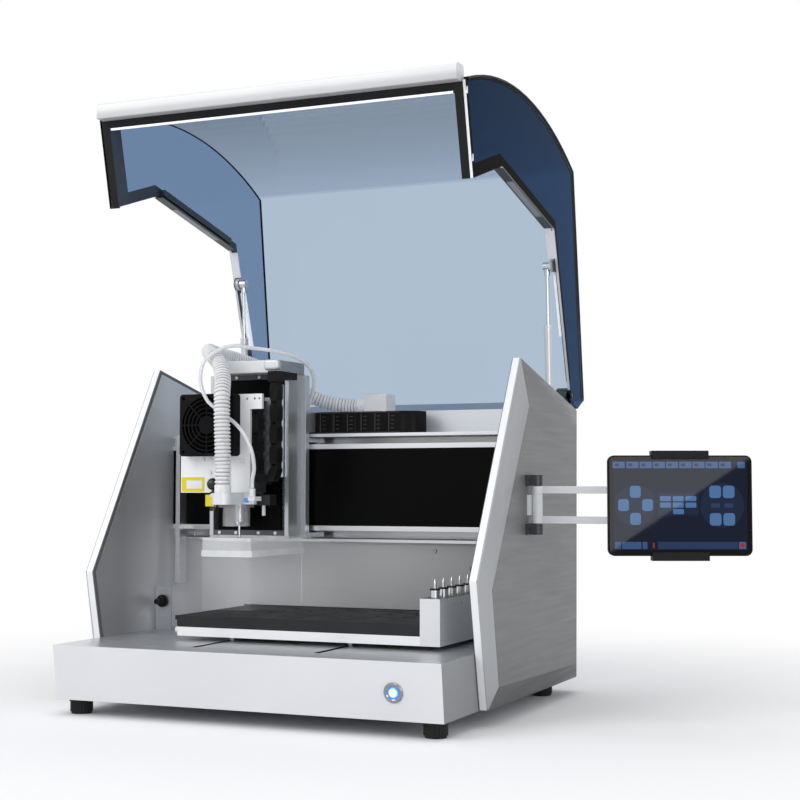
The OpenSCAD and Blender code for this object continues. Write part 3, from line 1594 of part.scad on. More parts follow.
// Cable chains, links laid along a path of points
module link(pitch, thick, width, odd) {
  w = odd ? width : width - 2.4;
  r = odd ? thick / 2 : thick / 2 - 0.7;
  translate([0, 0, (width - w) / 2]) linear_extrude(w) difference() {
    capsule([0, 0], [pitch, 0], r, $fn = 24);
    if (pitch > 2.4 * r) {
      translate([r + 0.6, -thick * 0.2]) square([pitch - 2 * r - 1.2, thick * 0.4]);
    }
  }
}
module chain(path, pitch, thick, width) {
  for (i = [0:len(path) - 2]) {
    d = path[i + 1] - path[i];
    translate(path[i]) rotate(atan2(d[1], d[0])) link(norm(d), thick, width, i % 2 == 0);
  }
}
function u_path(a, bend, r, b, pitch, steps) =
  let(ahead = round((bend - a) / pitch), behind = round((bend - b) / pitch))
  concat(
    [for (i = [0:ahead - 1]) [a + i * (bend - a) / ahead, 0]],
    [for (i = [0:steps]) [bend + r * sin(180 * i / steps), r - r * cos(180 * i / steps)]],
    [for (i = [1:behind]) [bend - i * (bend - b) / behind, 2 * r]]
  );
module x_chain() {
  color("#1a1a1c") translate([0, chain_y, shelf_top]) {
    chain(u_path(x_chain_from, x_chain_bend, x_chain_r, x_chain_to, chain_pitch, 4),
      chain_pitch, chain_thick, chain_width);
    translate([x_chain_to - 12, 2 * x_chain_r - chain_thick / 2, 0]) {
      cube([26, chain_thick, chain_width - 6]);
    }
    translate([x_chain_to - 30, 2 * x_chain_r - chain_thick / 2, 0]) cube([30, chain_thick, 2.5]);
  }
}
module z_chain() {
  top = z_top - 12;
  color("#1a1a1c") translate([carriage_x, z_chain_y, 0]) {
    rotate([90, 0, 0]) translate([0, 0, -z_chain_width]) {
      for (i = [0:6]) {
        z = z_chain_foot + i * z_chain_pitch;
        if (z + z_chain_pitch < plate_base + plate_height - 2) {
          translate([z_chain_left, z]) rotate(90) link(z_chain_pitch, 10, z_chain_width, i % 2 == 0);
        }
      }
      for (i = [0:8]) {
        z = z_chain_foot + i * z_chain_pitch;
        if (z + z_chain_pitch < top + 8) {
          translate([z_chain_right, z]) rotate(90) link(z_chain_pitch, 10, z_chain_width, i % 2 == 1);
        }
      }
      r = (z_chain_right - z_chain_left) / 2;
      for (i = [0:3]) {
        a = 180 + i * 45;
        p = [z_chain_left + r + r * cos(a), z_chain_foot + r * sin(a)];
        q = [z_chain_left + r + r * cos(a + 45), z_chain_foot + r * sin(a + 45)];
        d = q - p;
        translate(p) rotate(atan2(d[1], d[0])) link(norm(d), 10, z_chain_width, i % 2 == 1);
      }
    }
  }
  color("#1a1a1c") translate([carriage_x + z_chain_right, 0, 0]) {
    box([-7, 7], [z_chain_y - 1, z_chain_y + z_chain_width + 1], [top, z_top]);
    box([-7, 7], [z_chain_y + z_chain_width, z_front], [top + 4, z_top]);
  }
}

// Dust hose and air tube
dust_route = [
  [0, hose_y, shoe_top - 9], [0, hose_y, shoe_top + 4], [0, hose_y, shoe_top + 26],
  [-1, hose_y, 305], [-2, hose_y + 0.4, 328], [-3, hose_y + 2, 345], [-5, hose_y + 5.5, 358],
  [-11, -70, 374], [-22, -56, 391], [-40, -42, 405], [-59, -18, 412], [-66, 13, 411],
  [-60, 52, 407], [-44, 88, 397], [-16, 116, 376], [15, 136, 359], [47, 147.5, 352.6],
  [74, 150, hose_rest_z]
];
air_route = [
  [47, 56, 341], [52, 54, 356], [58, 50, 372], [61, 42, 386], [58, 26, 399], [48, 4, 407],
  [33, -18, 411], [16, -35, 413], [4, -46, 415], [-11, -57, 410], [-26, -66, 396],
  [-28, -71, 373], [-18, -74.5, 352], [-5, -74, 340], [10, -73.2, 330], [24, -73.5, 319],
  [35, -75, 306], [42, -74, 290], [42, -68.5, 272], [39, -67, shoe_top + 15],
  [39, -67, shoe_top + 5.3]
];
module dust_hose() {
  path = [for (p = spline(dust_route, 2)) [p[0] + carriage_x + hose_x, p[1], p[2]]];
  color("whitesmoke") tube(path, hose_r, 12, [1, 0, 0]);
}
module air_tube() {
  path = [for (p = spline(air_route, 2)) [p[0] + carriage_x, p[1], p[2]]];
  color([0.85, 0.9, 0.95, 0.6]) tube(path, 2.2, 8, [0, 1, 0]);
}

base_housing();
bottom_plate();
feet();
side_panel_left();
side_panel_right();
side_liners();
inner_wall();
gantry_beam();
gantry_cover();
guide_rails();
drive_motors();
electronics_cabinet();
rear_panel();
electronics();
cable_bracket();
button_bezel();
hood_brackets();
arm_brackets();
x_carriage();
z_housing();
z_cap();
z_cover();
z_rails();
z_motor();
chip_guard();
guard_curtain();
x_ballscrew();
y_ballscrew();
z_ballscrew();
z_saddle();
spindle_housing();
spindle_plate();
fan_frame();
fan_rotor();
spindle_shaft();
dust_shoe();
shoe_window();
release_lever();
bed_saddle();
bed_plate();
bed_slab();
tool_rack();
rack_tools();
hood_sheet();
hood_plates();
handle_bar();
hood_trim();
light_bars();
strut_cylinder_left();
strut_cylinder_right();
strut_rod_left();
strut_rod_right();
button_cap();
swing_arm();
tablet();
clamp_jaw();
x_chain();
z_chain();
dust_hose();
air_tube();
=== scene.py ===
import json
import math

import bmesh
import bpy
from mathutils import Matrix, Vector


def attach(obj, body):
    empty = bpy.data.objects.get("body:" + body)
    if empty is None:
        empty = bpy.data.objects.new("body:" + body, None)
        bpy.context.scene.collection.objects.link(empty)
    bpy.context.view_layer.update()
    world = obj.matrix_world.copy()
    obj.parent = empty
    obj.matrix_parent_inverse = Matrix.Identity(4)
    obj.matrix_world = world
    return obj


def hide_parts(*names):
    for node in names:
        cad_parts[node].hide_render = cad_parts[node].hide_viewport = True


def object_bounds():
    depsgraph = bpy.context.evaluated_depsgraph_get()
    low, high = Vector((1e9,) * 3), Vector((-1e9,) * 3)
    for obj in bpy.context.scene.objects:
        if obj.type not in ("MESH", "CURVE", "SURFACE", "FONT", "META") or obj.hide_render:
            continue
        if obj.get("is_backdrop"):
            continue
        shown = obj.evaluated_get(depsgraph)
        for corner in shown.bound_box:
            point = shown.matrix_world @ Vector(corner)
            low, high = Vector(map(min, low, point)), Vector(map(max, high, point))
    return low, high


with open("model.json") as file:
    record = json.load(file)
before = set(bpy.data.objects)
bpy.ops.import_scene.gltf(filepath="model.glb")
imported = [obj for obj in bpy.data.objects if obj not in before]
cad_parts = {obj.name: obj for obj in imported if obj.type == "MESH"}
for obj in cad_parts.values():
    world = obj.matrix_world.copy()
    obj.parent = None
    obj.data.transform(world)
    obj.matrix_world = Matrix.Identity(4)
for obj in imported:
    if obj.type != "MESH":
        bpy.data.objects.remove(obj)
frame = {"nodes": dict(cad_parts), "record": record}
CAD_LO, CAD_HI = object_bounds()
NODES = frame["nodes"]
BODY = {n: b for b, ns in frame["record"]["behaviour"]["bodies"].items() for n in ns}
SLOT = {s["node"]: s["material_slot"] for s in frame["record"]["subparts"]}
MATS = {}
PIECE = {}
SIDES = (("left", -1), ("right", 1))
scene = bpy.context.scene
scene.view_settings.view_transform = "Standard"

# ------------------------------------------------------------------ camera
YAW, PITCH = math.radians(23.36), math.radians(3.248)
cam_data = bpy.data.cameras.new("camera")
cam = bpy.data.objects.new("camera", cam_data)
scene.collection.objects.link(cam)
cam_data.sensor_width = 36
cam_data.lens = 68.86
cam_data.clip_start = 0.05
cam_data.clip_end = 60
cam.location = (0.7927, -1.6049, 0.2503)
look = Vector((-math.sin(YAW) * math.cos(PITCH), math.cos(YAW) * math.cos(PITCH), math.sin(PITCH)))
cam.rotation_mode = "QUATERNION"
cam.rotation_quaternion = look.to_track_quat("-Z", "Y")
scene.camera = cam


# ------------------------------------------------------------------ mesh helpers
def mm(x, y, z):
    return Vector((x, y, z)) / 1000


def new_object(name, mesh, body, material=None, slot=None):
    o = bpy.data.objects.new(name, mesh)
    scene.collection.objects.link(o)
    if material:
        o.data.materials.append(material)
    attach(o, body)
    return o


def poly_mesh(name, verts, faces, body, material=None, slot=None):
    me = bpy.data.meshes.new(name)
    me.from_pydata([tuple(v) for v in verts], [], faces)
    me.validate()
    me.update()
    return new_object(name, me, body, material, slot)


def smooth(o, angle):
    for p in o.data.polygons:
        p.use_smooth = True
    o.data.set_sharp_from_angle(angle=math.radians(angle))


def catmull(points, k):
    """Smooth curve through the points, each span in k steps."""
    out = []
    for i in range(len(points) - 1):
        a, b, c, d = (Vector(points[max(0, min(len(points) - 1, i + j))]) for j in (-1, 0, 1, 2))
        for j in range(k):
            t = j / k
            out.append(0.5 * (2 * b + (c - a) * t + (2 * a - 5 * b + 4 * c - d) * t * t
                              + (3 * b - a - 3 * c + d) * t ** 3))
    out.append(Vector(points[-1]))
    return out


def tube(name, path, radius, sides, body, material, slot=None):
    """Swept tube; radius is a number or a function of the length along the path."""
    n = len(path)
    tans = [(path[min(i + 1, n - 1)] - path[max(i - 1, 0)]).normalized() for i in range(n)]
    side = tans[0].orthogonal().normalized()
    run = 0.0
    verts, faces = [], []
    for i, p in enumerate(path):
        if i:
            run += (p - path[i - 1]).length
        side = (side - tans[i] * side.dot(tans[i])).normalized()
        up = tans[i].cross(side)
        r = radius(run) if callable(radius) else radius
        for k in range(sides):
            a = 2 * math.pi * k / sides
            verts.append(p + (side * math.cos(a) + up * math.sin(a)) * r)
    for i in range(n - 1):
        for k in range(sides):
            a, b = i * sides + k, i * sides + (k + 1) % sides
            faces.append((a, b, b + sides, a + sides))
    faces.append(tuple(range(sides - 1, -1, -1)))
    faces.append(tuple((n - 1) * sides + k for k in range(sides)))
    o = poly_mesh(name, verts, faces, body, material, slot)
    smooth(o, 50)
    return o


def path_length(path):
    return sum((b - a).length for a, b in zip(path, path[1:]))


def block(name, lo, hi, body, material, slot):
    """Box between two corners, mm."""
    (x0, y0, z0), (x1, y1, z1) = lo, hi
    pts = [mm(x, y, z) for z in (z0, z1) for y in (y0, y1) for x in (x0, x1)]
    faces = [(0, 2, 3, 1), (4, 5, 7, 6), (0, 1, 5, 4), (2, 6, 7, 3), (0, 4, 6, 2), (1, 3, 7, 5)]
    return poly_mesh(name, pts, faces, body, material, slot)


def slab(name, quad, xs, body, material, slot):
    """Four-cornered plate between two x positions; the corners are (y, z), mm."""
    verts = [mm(x, q.x, q.y) for x in xs for q in quad]
    faces = [(0, 1, 2, 3), (7, 6, 5, 4), (0, 4, 5, 1), (1, 5, 6, 2), (2, 6, 7, 3), (3, 7, 4, 0)]
    return poly_mesh(name, verts, faces, body, material, slot)


def look(node):
    """A node's material: its slot's, or another one of its own."""
    return MATS[OWN_LOOK.get(node, SLOT[node])]


def box(node):
    """Lowest and highest corner and middle of a CAD node, mm."""
    points = [v.co * 1000 for v in NODES[node].data.vertices]
    lo, hi = (Vector([end(p[k] for p in points) for k in range(3)]) for end in (min, max))
    return lo, hi, (lo + hi) / 2


def refined(node, width):
    """The CAD node's own shape with rounded edges."""
    bm = bmesh.new()
    bm.from_mesh(NODES[node].data)
    bmesh.ops.remove_doubles(bm, verts=bm.verts, dist=2e-6)
    bmesh.ops.dissolve_limit(bm, angle_limit=math.radians(1.2), verts=bm.verts, edges=bm.edges,
                             use_dissolve_boundaries=False)
    sharp = [e for e in bm.edges
             if len(e.link_faces) == 2 and e.calc_face_angle(0) > math.radians(28)]
    bmesh.ops.bevel(bm, geom=sharp, offset=width, offset_type="OFFSET", segments=2, profile=0.5,
                    affect="EDGES", clamp_overlap=True)
    me = bpy.data.meshes.new(node + "_piece")
    bm.to_mesh(me)
    bm.free()
    o = new_object(node + "_piece", me, BODY[node], look(node), SLOT[node])
    smooth(o, 40)
    even = o.modifiers.new("even", "WEIGHTED_NORMAL")
    even.keep_sharp = True
    even.weight = 100
    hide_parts(node)
    PIECE[node] = o


def keep(node):
    """The CAD node's own mesh, with its material."""
    materials = NODES[node].data.materials
    materials.clear()
    materials.append(look(node))


def tint(node, material, test):
    """Give a material to the node's faces whose centre (mm) and normal pass the test."""
    mesh = PIECE.get(node, NODES[node]).data
    mesh.materials.append(MATS[material])
    k = len(mesh.materials) - 1
    for p in mesh.polygons:
        if test(p.center * 1000, p.normal):
            p.material_index = k


def rounded_rect(cx, cz, w, h, r, seg=4):
    pts = []
    for k, (sx, sz) in enumerate(((1, -1), (1, 1), (-1, 1), (-1, -1))):
        for j in range(seg + 1):
            a = math.radians(-90 + 90 * k + 90 * j / seg)
            pts.append((cx + sx * (w / 2 - r) + r * math.cos(a),
                        cz + sz * (h / 2 - r) + r * math.sin(a)))
    return pts


def disc(cx, cz, r, seg=48):
    return [(cx + r * math.cos(2 * math.pi * i / seg), cz + r * math.sin(2 * math.pi * i / seg))
            for i in range(seg)]


def flat_shapes(name, shapes, body, slot, turn=Matrix.Identity(4)):
    """Thin plates that face -y: outline (x, z), front y, back y and material, all mm."""
    verts, faces, which, mats = [], [], [], []
    for outline, y0, y1, m in shapes:
        if m not in mats:
            mats.append(m)
        k, n = len(verts), len(outline)
        for y in (y0, y1):
            verts += [turn @ mm(x, y, z) for x, z in outline]
        new = [tuple(range(k, k + n)), tuple(range(k + 2 * n - 1, k + n - 1, -1))]
        new += [(k + i, k + n + i, k + n + (i + 1) % n, k + (i + 1) % n) for i in range(n)]
        faces += new
        which += [mats.index(m)] * len(new)
    o = poly_mesh(name, verts, faces, body)
    for m in mats:
        o.data.materials.append(MATS[m])
    for p, k in zip(o.data.polygons, which):
        p.material_index = k


# ------------------------------------------------------------------ node helpers
def lin(v):
    v = v / 255
    return v / 12.92 if v <= 0.04045 else ((v + 0.055) / 1.055) ** 2.4


def rgb(r, g, b):
    return (lin(r), lin(g), lin(b), 1)


def shade(colour, factor, lift=0.0):
    return tuple(min(1, c * factor + lift) for c in colour[:3]) + (1,)


def fill(node, values):
    """Set or wire the node's inputs, by socket name or number."""
    for socket, value in values.items():
        if isinstance(value, bpy.types.NodeSocket):
            node.id_data.links.new(value, node.inputs[socket])
        else:
            node.inputs[socket].default_value = value


def add(nt, kind, values=None, **settings):
    """New shader node with its settings and inputs."""
    node = nt.nodes.new("ShaderNode" + kind)
    for key, value in settings.items():
        setattr(node, key, value)
    fill(node, values or {})
    return node


def math_node(nt, operation, a, b):
    return add(nt, "Math", {0: a, 1: b}, operation=operation).outputs[0]


def blank(name):
    """New material, kept in MATS, with a Principled BSDF."""
    m = bpy.data.materials.new(name)
    m.use_nodes = True
    nt = m.node_tree
    nt.nodes.clear()
    bsdf = add(nt, "BsdfPrincipled")
    add(nt, "OutputMaterial", {0: bsdf.outputs[0]})
    MATS[name] = m
    return m, nt, bsdf


def coords(nt, scale=(1, 1, 1)):
    place = add(nt, "TexCoord").outputs["Object"]
    return add(nt, "Mapping", {"Vector": place, "Scale": scale}).outputs[0]


def noise(nt, vec, scale, detail=3.0, rough=0.55):
    return add(nt, "TexNoise", {"Vector": vec, "Scale": scale, "Detail": detail,
                                "Roughness": rough}).outputs["Fac"]


def spread(nt, value, lo, hi):
    """Noise's middle range, stretched from lo to hi."""
    return add(nt, "MapRange", {"Value": value, "From Min": 0.3, "From Max": 0.7,
                                "To Min": lo, "To Max": hi}).outputs[0]


def ramp(nt, value, stops):
    r = add(nt, "ValToRGB", {0: value})
    el = r.color_ramp.elements
    el[0].position, el[0].color = stops[0]
    el[1].position, el[1].color = stops[-1]
    for pos, col in stops[1:-1]:
        e = el.new(pos)
        e.color = col
    return r.outputs[0]


def along_axis(nt, axis, lo, hi):
    """0 to 1 between two places on one axis of the part (m)."""
    xyz = add(nt, "SeparateXYZ", {0: add(nt, "TexCoord").outputs["Object"]})
    return add(nt, "MapRange", {"Value": xyz.outputs[axis], "From Min": lo,
                                "From Max": hi}).outputs[0]


def times(nt, a, b):
    return add(nt, "Mix", {"Factor": 1.0, "A": a, "B": b}, data_type="RGBA",
               blend_type="MULTIPLY").outputs["Result"]


def bump(nt, bsdf, height, strength, distance):
    relief = add(nt, "Bump", {"Height": height, "Strength": strength, "Distance": distance})
    fill(bsdf, {"Normal": relief.outputs[0]})


def edge_wear(nt, colour, worn, amount):
    """Mix towards the worn colour on convex edges, by pointiness."""
    edge = add(nt, "MapRange", {"Value": add(nt, "NewGeometry").outputs["Pointiness"],
                                "From Min": 0.52, "From Max": 0.62, "To Max": amount})
    return add(nt, "Mix", {"Factor": edge.outputs[0], "A": colour, "B": worn},
               data_type="RGBA").outputs["Result"]


def paint(name, colour, rough=0.4, grain=900.0, coat=0.0, metal=0.0, vary=0.03, peel=0.06,
          spec=0.5):
    """Powder coat or paint: orange peel, faint cloudiness, uneven gloss."""
    m, nt, b = blank(name)
    v = coords(nt)
    light = shade(colour, 1 + vary)
    cloud = ramp(nt, noise(nt, v, 5.0, 4.0), [(0.35, shade(colour, 1 - vary)), (0.65, light)])
    fill(b, {"Base Color": edge_wear(nt, cloud, light, 0.5), "Metallic": metal,
             "Roughness": spread(nt, noise(nt, v, 14.0), rough * 0.88, rough * 1.14),
             "Specular IOR Level": spec, "Coat Weight": coat, "Coat Roughness": 0.12})
    bump(nt, b, noise(nt, v, grain, 2.0), peel, 0.0004)
    return m


def brushed(name, colour, rough=0.34, along=(6, 6, 900), metal=1.0, vary=0.1, depth=0.12):
    """Brushed or ground metal: fine streaks, stretched along one direction."""
    m, nt, b = blank(name)
    streaks = noise(nt, coords(nt, along), 1.0, 6.0, 0.7)
    cloud = noise(nt, coords(nt), 4.0)
    lines = ramp(nt, streaks, [(0.3, shade(colour, 1 - vary)), (0.7, shade(colour, 1 + vary))])
    dull = ramp(nt, cloud, [(0.3, (0.94, 0.94, 0.95, 1)), (0.7, (1, 1, 1, 1))])
    fill(b, {"Base Color": times(nt, lines, dull), "Metallic": metal,
             "Roughness": spread(nt, streaks, rough * 0.8, rough * 1.25)})
    bump(nt, b, streaks, depth, 0.0003)
    return m


def plastic(name, colour, rough=0.45, grain=1400.0, peel=0.12, vary=0.06, coat=0.0, spec=0.5):
    """Moulded plastic or rubber: spark-eroded grain, slightly uneven gloss."""
    m, nt, b = blank(name)
    v = coords(nt)
    cloud = ramp(nt, noise(nt, v, 9.0, 4.0), [(0.35, shade(colour, 1 - vary)),
                                              (0.65, shade(colour, 1 + 2 * vary, 0.004))])
    fill(b, {"Base Color": edge_wear(nt, cloud, shade(colour, 1.5, 0.02), 0.35),
             "Roughness": spread(nt, noise(nt, v, 30.0), rough * 0.88, rough * 1.15),
             "Specular IOR Level": spec, "Coat Weight": coat, "Coat Roughness": 0.08})
    bump(nt, b, noise(nt, v, grain, 2.0), peel, 0.0003)
    return m


def clear(name, colour, rough, ior, smear):
    """Clear acrylic: tinted, with faint handling marks in the gloss."""
    m, nt, b = blank(name)
    v = coords(nt)
    fill(b, {"Base Color": colour, "Transmission Weight": 1.0, "IOR": ior,
             "Roughness": spread(nt, noise(nt, v, 7.0, 5.0, 0.6), rough, rough + smear)})
    bump(nt, b, noise(nt, v, 3.0, 1.0), 0.03, 0.002)
    return m


def clear_wall(name, colour, alpha):
    """Colourless wall seen thinly against what is behind it, with scuffs that catch the light."""
    m, nt, b = blank(name)
    v = coords(nt)
    fill(b, {"Base Color": colour, "IOR": 1.3,
             "Alpha": spread(nt, noise(nt, v, 22.0, 5.0), alpha * 0.8, alpha * 1.25),
             "Roughness": spread(nt, noise(nt, v, 40.0), 0.08, 0.16)})
    return m


def clear_sheet(name):
    """Tinted sheet of the hood: one tint on the flat back, and painted shade over the bend, a deeper
    blue that darkens towards the top.
    """
    m, nt, b = blank(name)
    flat = (0.42, 0.515, 0.63, 1)
    tint_and_shade = ramp(nt, along_axis(nt, "Z", 0.633, 0.713),
                 [(0.0, flat), (0.245, flat), (0.255, (0.315, 0.395, 0.52, 1)),
                  (1.0, (0.2, 0.255, 0.32, 1))])
    fill(b, {"Base Color": tint_and_shade, "Transmission Weight": 1.0, "IOR": 1.13,
             "Roughness": spread(nt, noise(nt, coords(nt), 7.0, 5.0, 0.6), 0.015, 0.03)})
    return m


def milky(name, colour, through, rough):
    """Thin milky plastic: part of the light goes through, the rest is scattered."""
    m, nt, b = blank(name)
    v = coords(nt)
    fill(b, {"Base Color": colour, "IOR": 1.25,
             "Roughness": spread(nt, noise(nt, v, 90.0), rough * 0.85, rough * 1.2),
             "Transmission Weight": spread(nt, noise(nt, v, 40.0), through - 0.05,
                                           through + 0.05)})
    bump(nt, b, noise(nt, v, 500.0, 2.0), 0.04, 0.0003)
    return m


def glow(name, colour, strength):
    """Lit plastic, softly uneven."""
    m, nt, b = blank(name)
    v = coords(nt)
    fill(b, {"Base Color": colour, "Emission Color": colour, "Emission Strength": strength,
             "Roughness": spread(nt, noise(nt, v, 60.0), 0.24, 0.36)})
    bump(nt, b, noise(nt, v, 400.0), 0.05, 0.0003)
    return m


def screen(name, colour, strength=1.0):
    """Lit screen colour under gloss glass, with faint finger smears in the gloss."""
    m, nt, b = blank(name)
    fill(b, {"Base Color": (0.004, 0.004, 0.005, 1), "Emission Color": rgb(*colour),
             "Emission Strength": strength, "Specular IOR Level": 0.08,
             "Roughness": spread(nt, noise(nt, coords(nt), 25.0, 4.0), 0.012, 0.03)})
    return m


def lit_button(name, x, z, radius):
    """Push button with a white-lit middle and a blue rim, by distance from its centre (m)."""
    m, nt, b = blank(name)
    place = add(nt, "TexCoord").outputs["Object"]
    flat = add(nt, "Mapping", {"Vector": place, "Location": (-x, 0, -z), "Scale": (1, 0, 1)})
    far = add(nt, "VectorMath", {0: flat.outputs[0]}, operation="LENGTH")
    out = add(nt, "MapRange", {"Value": far.outputs["Value"], "From Max": radius})
    col = ramp(nt, out.outputs[0],
               [(0.0, (1, 1, 1, 1)), (0.4, (0.95, 0.98, 1, 1)), (0.56, rgb(120, 190, 248)),
                (0.7, rgb(48, 140, 236)), (1.0, rgb(30, 100, 200))])
    fill(b, {"Base Color": col, "Emission Color": col, "Emission Strength": 0.55,
             "Roughness": spread(nt, noise(nt, coords(nt), 60.0), 0.25, 0.35)})
    return m


def graded(m, axis, lo, hi, stops):
    """Multiply the base colour by a ramp along one axis of the part (m)."""
    nt = m.node_tree
    b = next(n for n in nt.nodes if n.type == "BSDF_PRINCIPLED")
    shades = ramp(nt, along_axis(nt, axis, lo, hi), [(p, (v, v, v, 1)) for p, v in stops])
    fill(b, {"Base Color": times(nt, b.inputs["Base Color"].links[0].from_socket, shades)})
    return m


# ------------------------------------------------------------------ materials of the CAD slots
paint("white_paint", rgb(224, 225, 228), rough=0.38)
brushed("bare_metal", rgb(196, 199, 204), rough=0.42, along=(5, 300, 300), metal=0.85, vary=0.04,
        depth=0.05)
plastic("foot_rubber", rgb(20, 20, 22), rough=0.7, grain=700.0, peel=0.2, spec=0.3)
# The panels' outer faces: a darker grey than their silver, painted shade
brushed("panel_aluminium", rgb(110, 111, 112), rough=0.4, along=(200, 8, 200), metal=0.35,
        vary=0.02, depth=0.02)
brushed("beam_aluminium", rgb(208, 209, 211), rough=0.33, along=(4, 500, 500), metal=0.85,
        vary=0.05, depth=0.06)
paint("black_cover", rgb(8, 8, 9), rough=0.32, grain=1100.0, vary=0.1, peel=0.03, spec=0.04)
brushed("rail_steel", rgb(176, 178, 182), rough=0.26, along=(4, 400, 400), vary=0.08, depth=0.06)
paint("motor_black", rgb(32, 33, 36), rough=0.5, spec=0.3)
plastic("circuit_board", rgb(30, 84, 46), rough=0.35, grain=500.0, peel=0.3)
brushed("button_ring", rgb(150, 153, 158), rough=0.2, along=(120, 120, 120), vary=0.05, depth=0.05)
paint("dark_metal", rgb(62, 64, 68), rough=0.42, grain=1000.0, metal=0.35)
brushed("carriage_aluminium", rgb(196, 200, 206), along=(300, 300, 5), metal=0.75, vary=0.05,
        depth=0.05)
clear_wall("clear_acrylic", rgb(250, 252, 253), alpha=0.22)
clear_wall("clear_film", rgb(236, 240, 244), alpha=0.035)
brushed("screw_steel", rgb(190, 192, 196), rough=0.22, along=(400, 400, 400), vary=0.06, depth=0.08)
plastic("fan_black", rgb(14, 14, 16), rough=0.6, grain=1200.0, peel=0.1, spec=0.03)
brushed("shoe_casting", rgb(228, 230, 233), rough=0.36, along=(200, 200, 20), metal=0.15,
        vary=0.03, depth=0.04)
plastic("knob_black", rgb(14, 14, 16), rough=0.22, grain=600.0, peel=0.02, vary=0.04, coat=0.2,
        spec=0.4)
plastic("slab_black", rgb(34, 34, 37), rough=0.6, grain=420.0, peel=0.14, vary=0.05, spec=0.2)
brushed("tool_steel", rgb(205, 206, 208), rough=0.2, along=(200, 200, 40), vary=0.08, depth=0.05)
clear_sheet("hood_acrylic")
clear("hood_plate_acrylic", (0.15, 0.232, 0.375, 1), rough=0.02, ior=1.16, smear=0.015)
# Handle bar: darker towards its lower edge, painted shade
graded(paint("handle_silver", rgb(220, 221, 223), rough=0.34, grain=1400.0, metal=0.1,
             vary=0.01, peel=0.02),
       "Z", 0.675, 0.694, [(0.0, 0.66), (0.3, 0.74), (0.6, 1.0), (1.0, 1.0)])
plastic("border_black", rgb(9, 9, 11), rough=0.4, grain=700.0, peel=0.02, vary=0.05, spec=0.15)
paint("strut_grey", rgb(205, 207, 211), rough=0.3, coat=0.3, metal=0.2, peel=0.02)
paint("arm_white", rgb(226, 228, 231), rough=0.36)
plastic("tablet_shell", rgb(9, 9, 10), rough=0.34, grain=1300.0, peel=0.03, vary=0.05, spec=0.06)
plastic("chain_black", rgb(5, 5, 6), rough=0.5, grain=900.0, peel=0.1, vary=0.1, spec=0.08)
glow("light_diffuser", (0.93, 0.96, 1.0, 1), strength=0.35)
milky("hose_clear", rgb(252, 252, 253), through=0.2, rough=0.3)

# ------------------------------------------------------------------ other materials
plastic("blue_dot", rgb(74, 140, 214), rough=0.35)
plastic("white_label", rgb(222, 224, 228), rough=0.5)
milky("hose_groove", rgb(186, 188, 191), through=0.2, rough=0.35)
milky("tube_clear", rgb(248, 250, 252), through=0.3, rough=0.15)
# Darker copy of the hood plates' tint for the right plate and the sheet's side edges: painted shade
clear("plate_navy_shaded", (0.017, 0.07, 0.155, 1), rough=0.02, ior=1.045, smear=0.015)
# Whiter, less clear copy for the clear guard's edges: painted highlight
clear_wall("clear_edge_highlight", rgb(252, 253, 254), alpha=0.5)
plastic("band_slate", rgb(54, 62, 74), rough=0.35, grain=700.0, peel=0.02, vary=0.04, spec=0.2)
# Lighter copy of the panels' grey for their cut corners: painted light
brushed("facet_lit_grey", rgb(170, 172, 175), rough=0.4, along=(200, 8, 200), metal=0.35, vary=0.02,
        depth=0.03)
plastic("seam_black", rgb(8, 10, 15), grain=700.0, peel=0.02, vary=0.04, spec=0.1)
brushed("deck_metal", rgb(204, 206, 209), rough=0.3, along=(4, 160, 160), metal=0.75, vary=0.015,
        depth=0.01)
# Light copy of the whites for faces turned to the front, on the panels' edges, plates and bed:
# painted light
paint("front_lit_white", rgb(244, 245, 247), rough=0.3, vary=0.01, peel=0.02)
brushed("housing_grey", rgb(150, 151, 154), rough=0.38, along=(300, 300, 6), metal=0.5, vary=0.04,
        depth=0.04)
# Inner wall and its slot brushes: darker towards the right, painted shade from the gantry
graded(brushed("wall_metal_shaded", rgb(236, 237, 239), rough=0.4, along=(6, 6, 420), metal=0.2,
               vary=0.03, depth=0.04),
       "X", -0.23, 0.23, [(0.0, 1.0), (0.3, 0.82), (1.0, 0.28)])
# Side liners: darker towards the front, painted shade
graded(brushed("side_metal_shaded", rgb(236, 237, 239), rough=0.4, along=(6, 6, 420), metal=0.25,
               vary=0.03, depth=0.04),
       "Y", -0.12, 0.1, [(0.0, 0.4), (0.25, 0.42), (0.7, 1.0), (1.0, 1.0)])
# Darker copy of the panels' grey for their lower facets: painted shade
brushed("facet_low_shaded", rgb(88, 89, 90), rough=0.4, along=(200, 8, 200), metal=0.35, vary=0.02,
        depth=0.03)
# Darker copy of the base's white for its right side: painted shade
paint("base_side_shaded", rgb(136, 137, 139), rough=0.38)
# Light copy of the cap's white for its front: painted light
paint("cap_front_lit", rgb(240, 241, 243), rough=0.3, coat=0.1, vary=0.02, peel=0.02)
brushed("corner_silver", rgb(220, 222, 225), rough=0.42, along=(300, 300, 300), metal=0.4,
        vary=0.02, depth=0.03)
plastic("rotor_black", rgb(7, 7, 8), rough=0.8, grain=900.0, peel=0.05, vary=0.03, spec=0.0)
paint("channel_dark", rgb(38, 39, 42), metal=0.2)
plastic("channel_bar", rgb(112, 114, 118), rough=0.3, grain=500.0, peel=0.03, vary=0.04)
# Light copy for the cabinet's front: painted light
paint("cabinet_front_lit", rgb(226, 229, 233), rough=0.36, metal=0.1, vary=0.02, peel=0.03)
plastic("foot_seal", rgb(128, 146, 168), rough=0.4, grain=700.0, peel=0.03, vary=0.04)
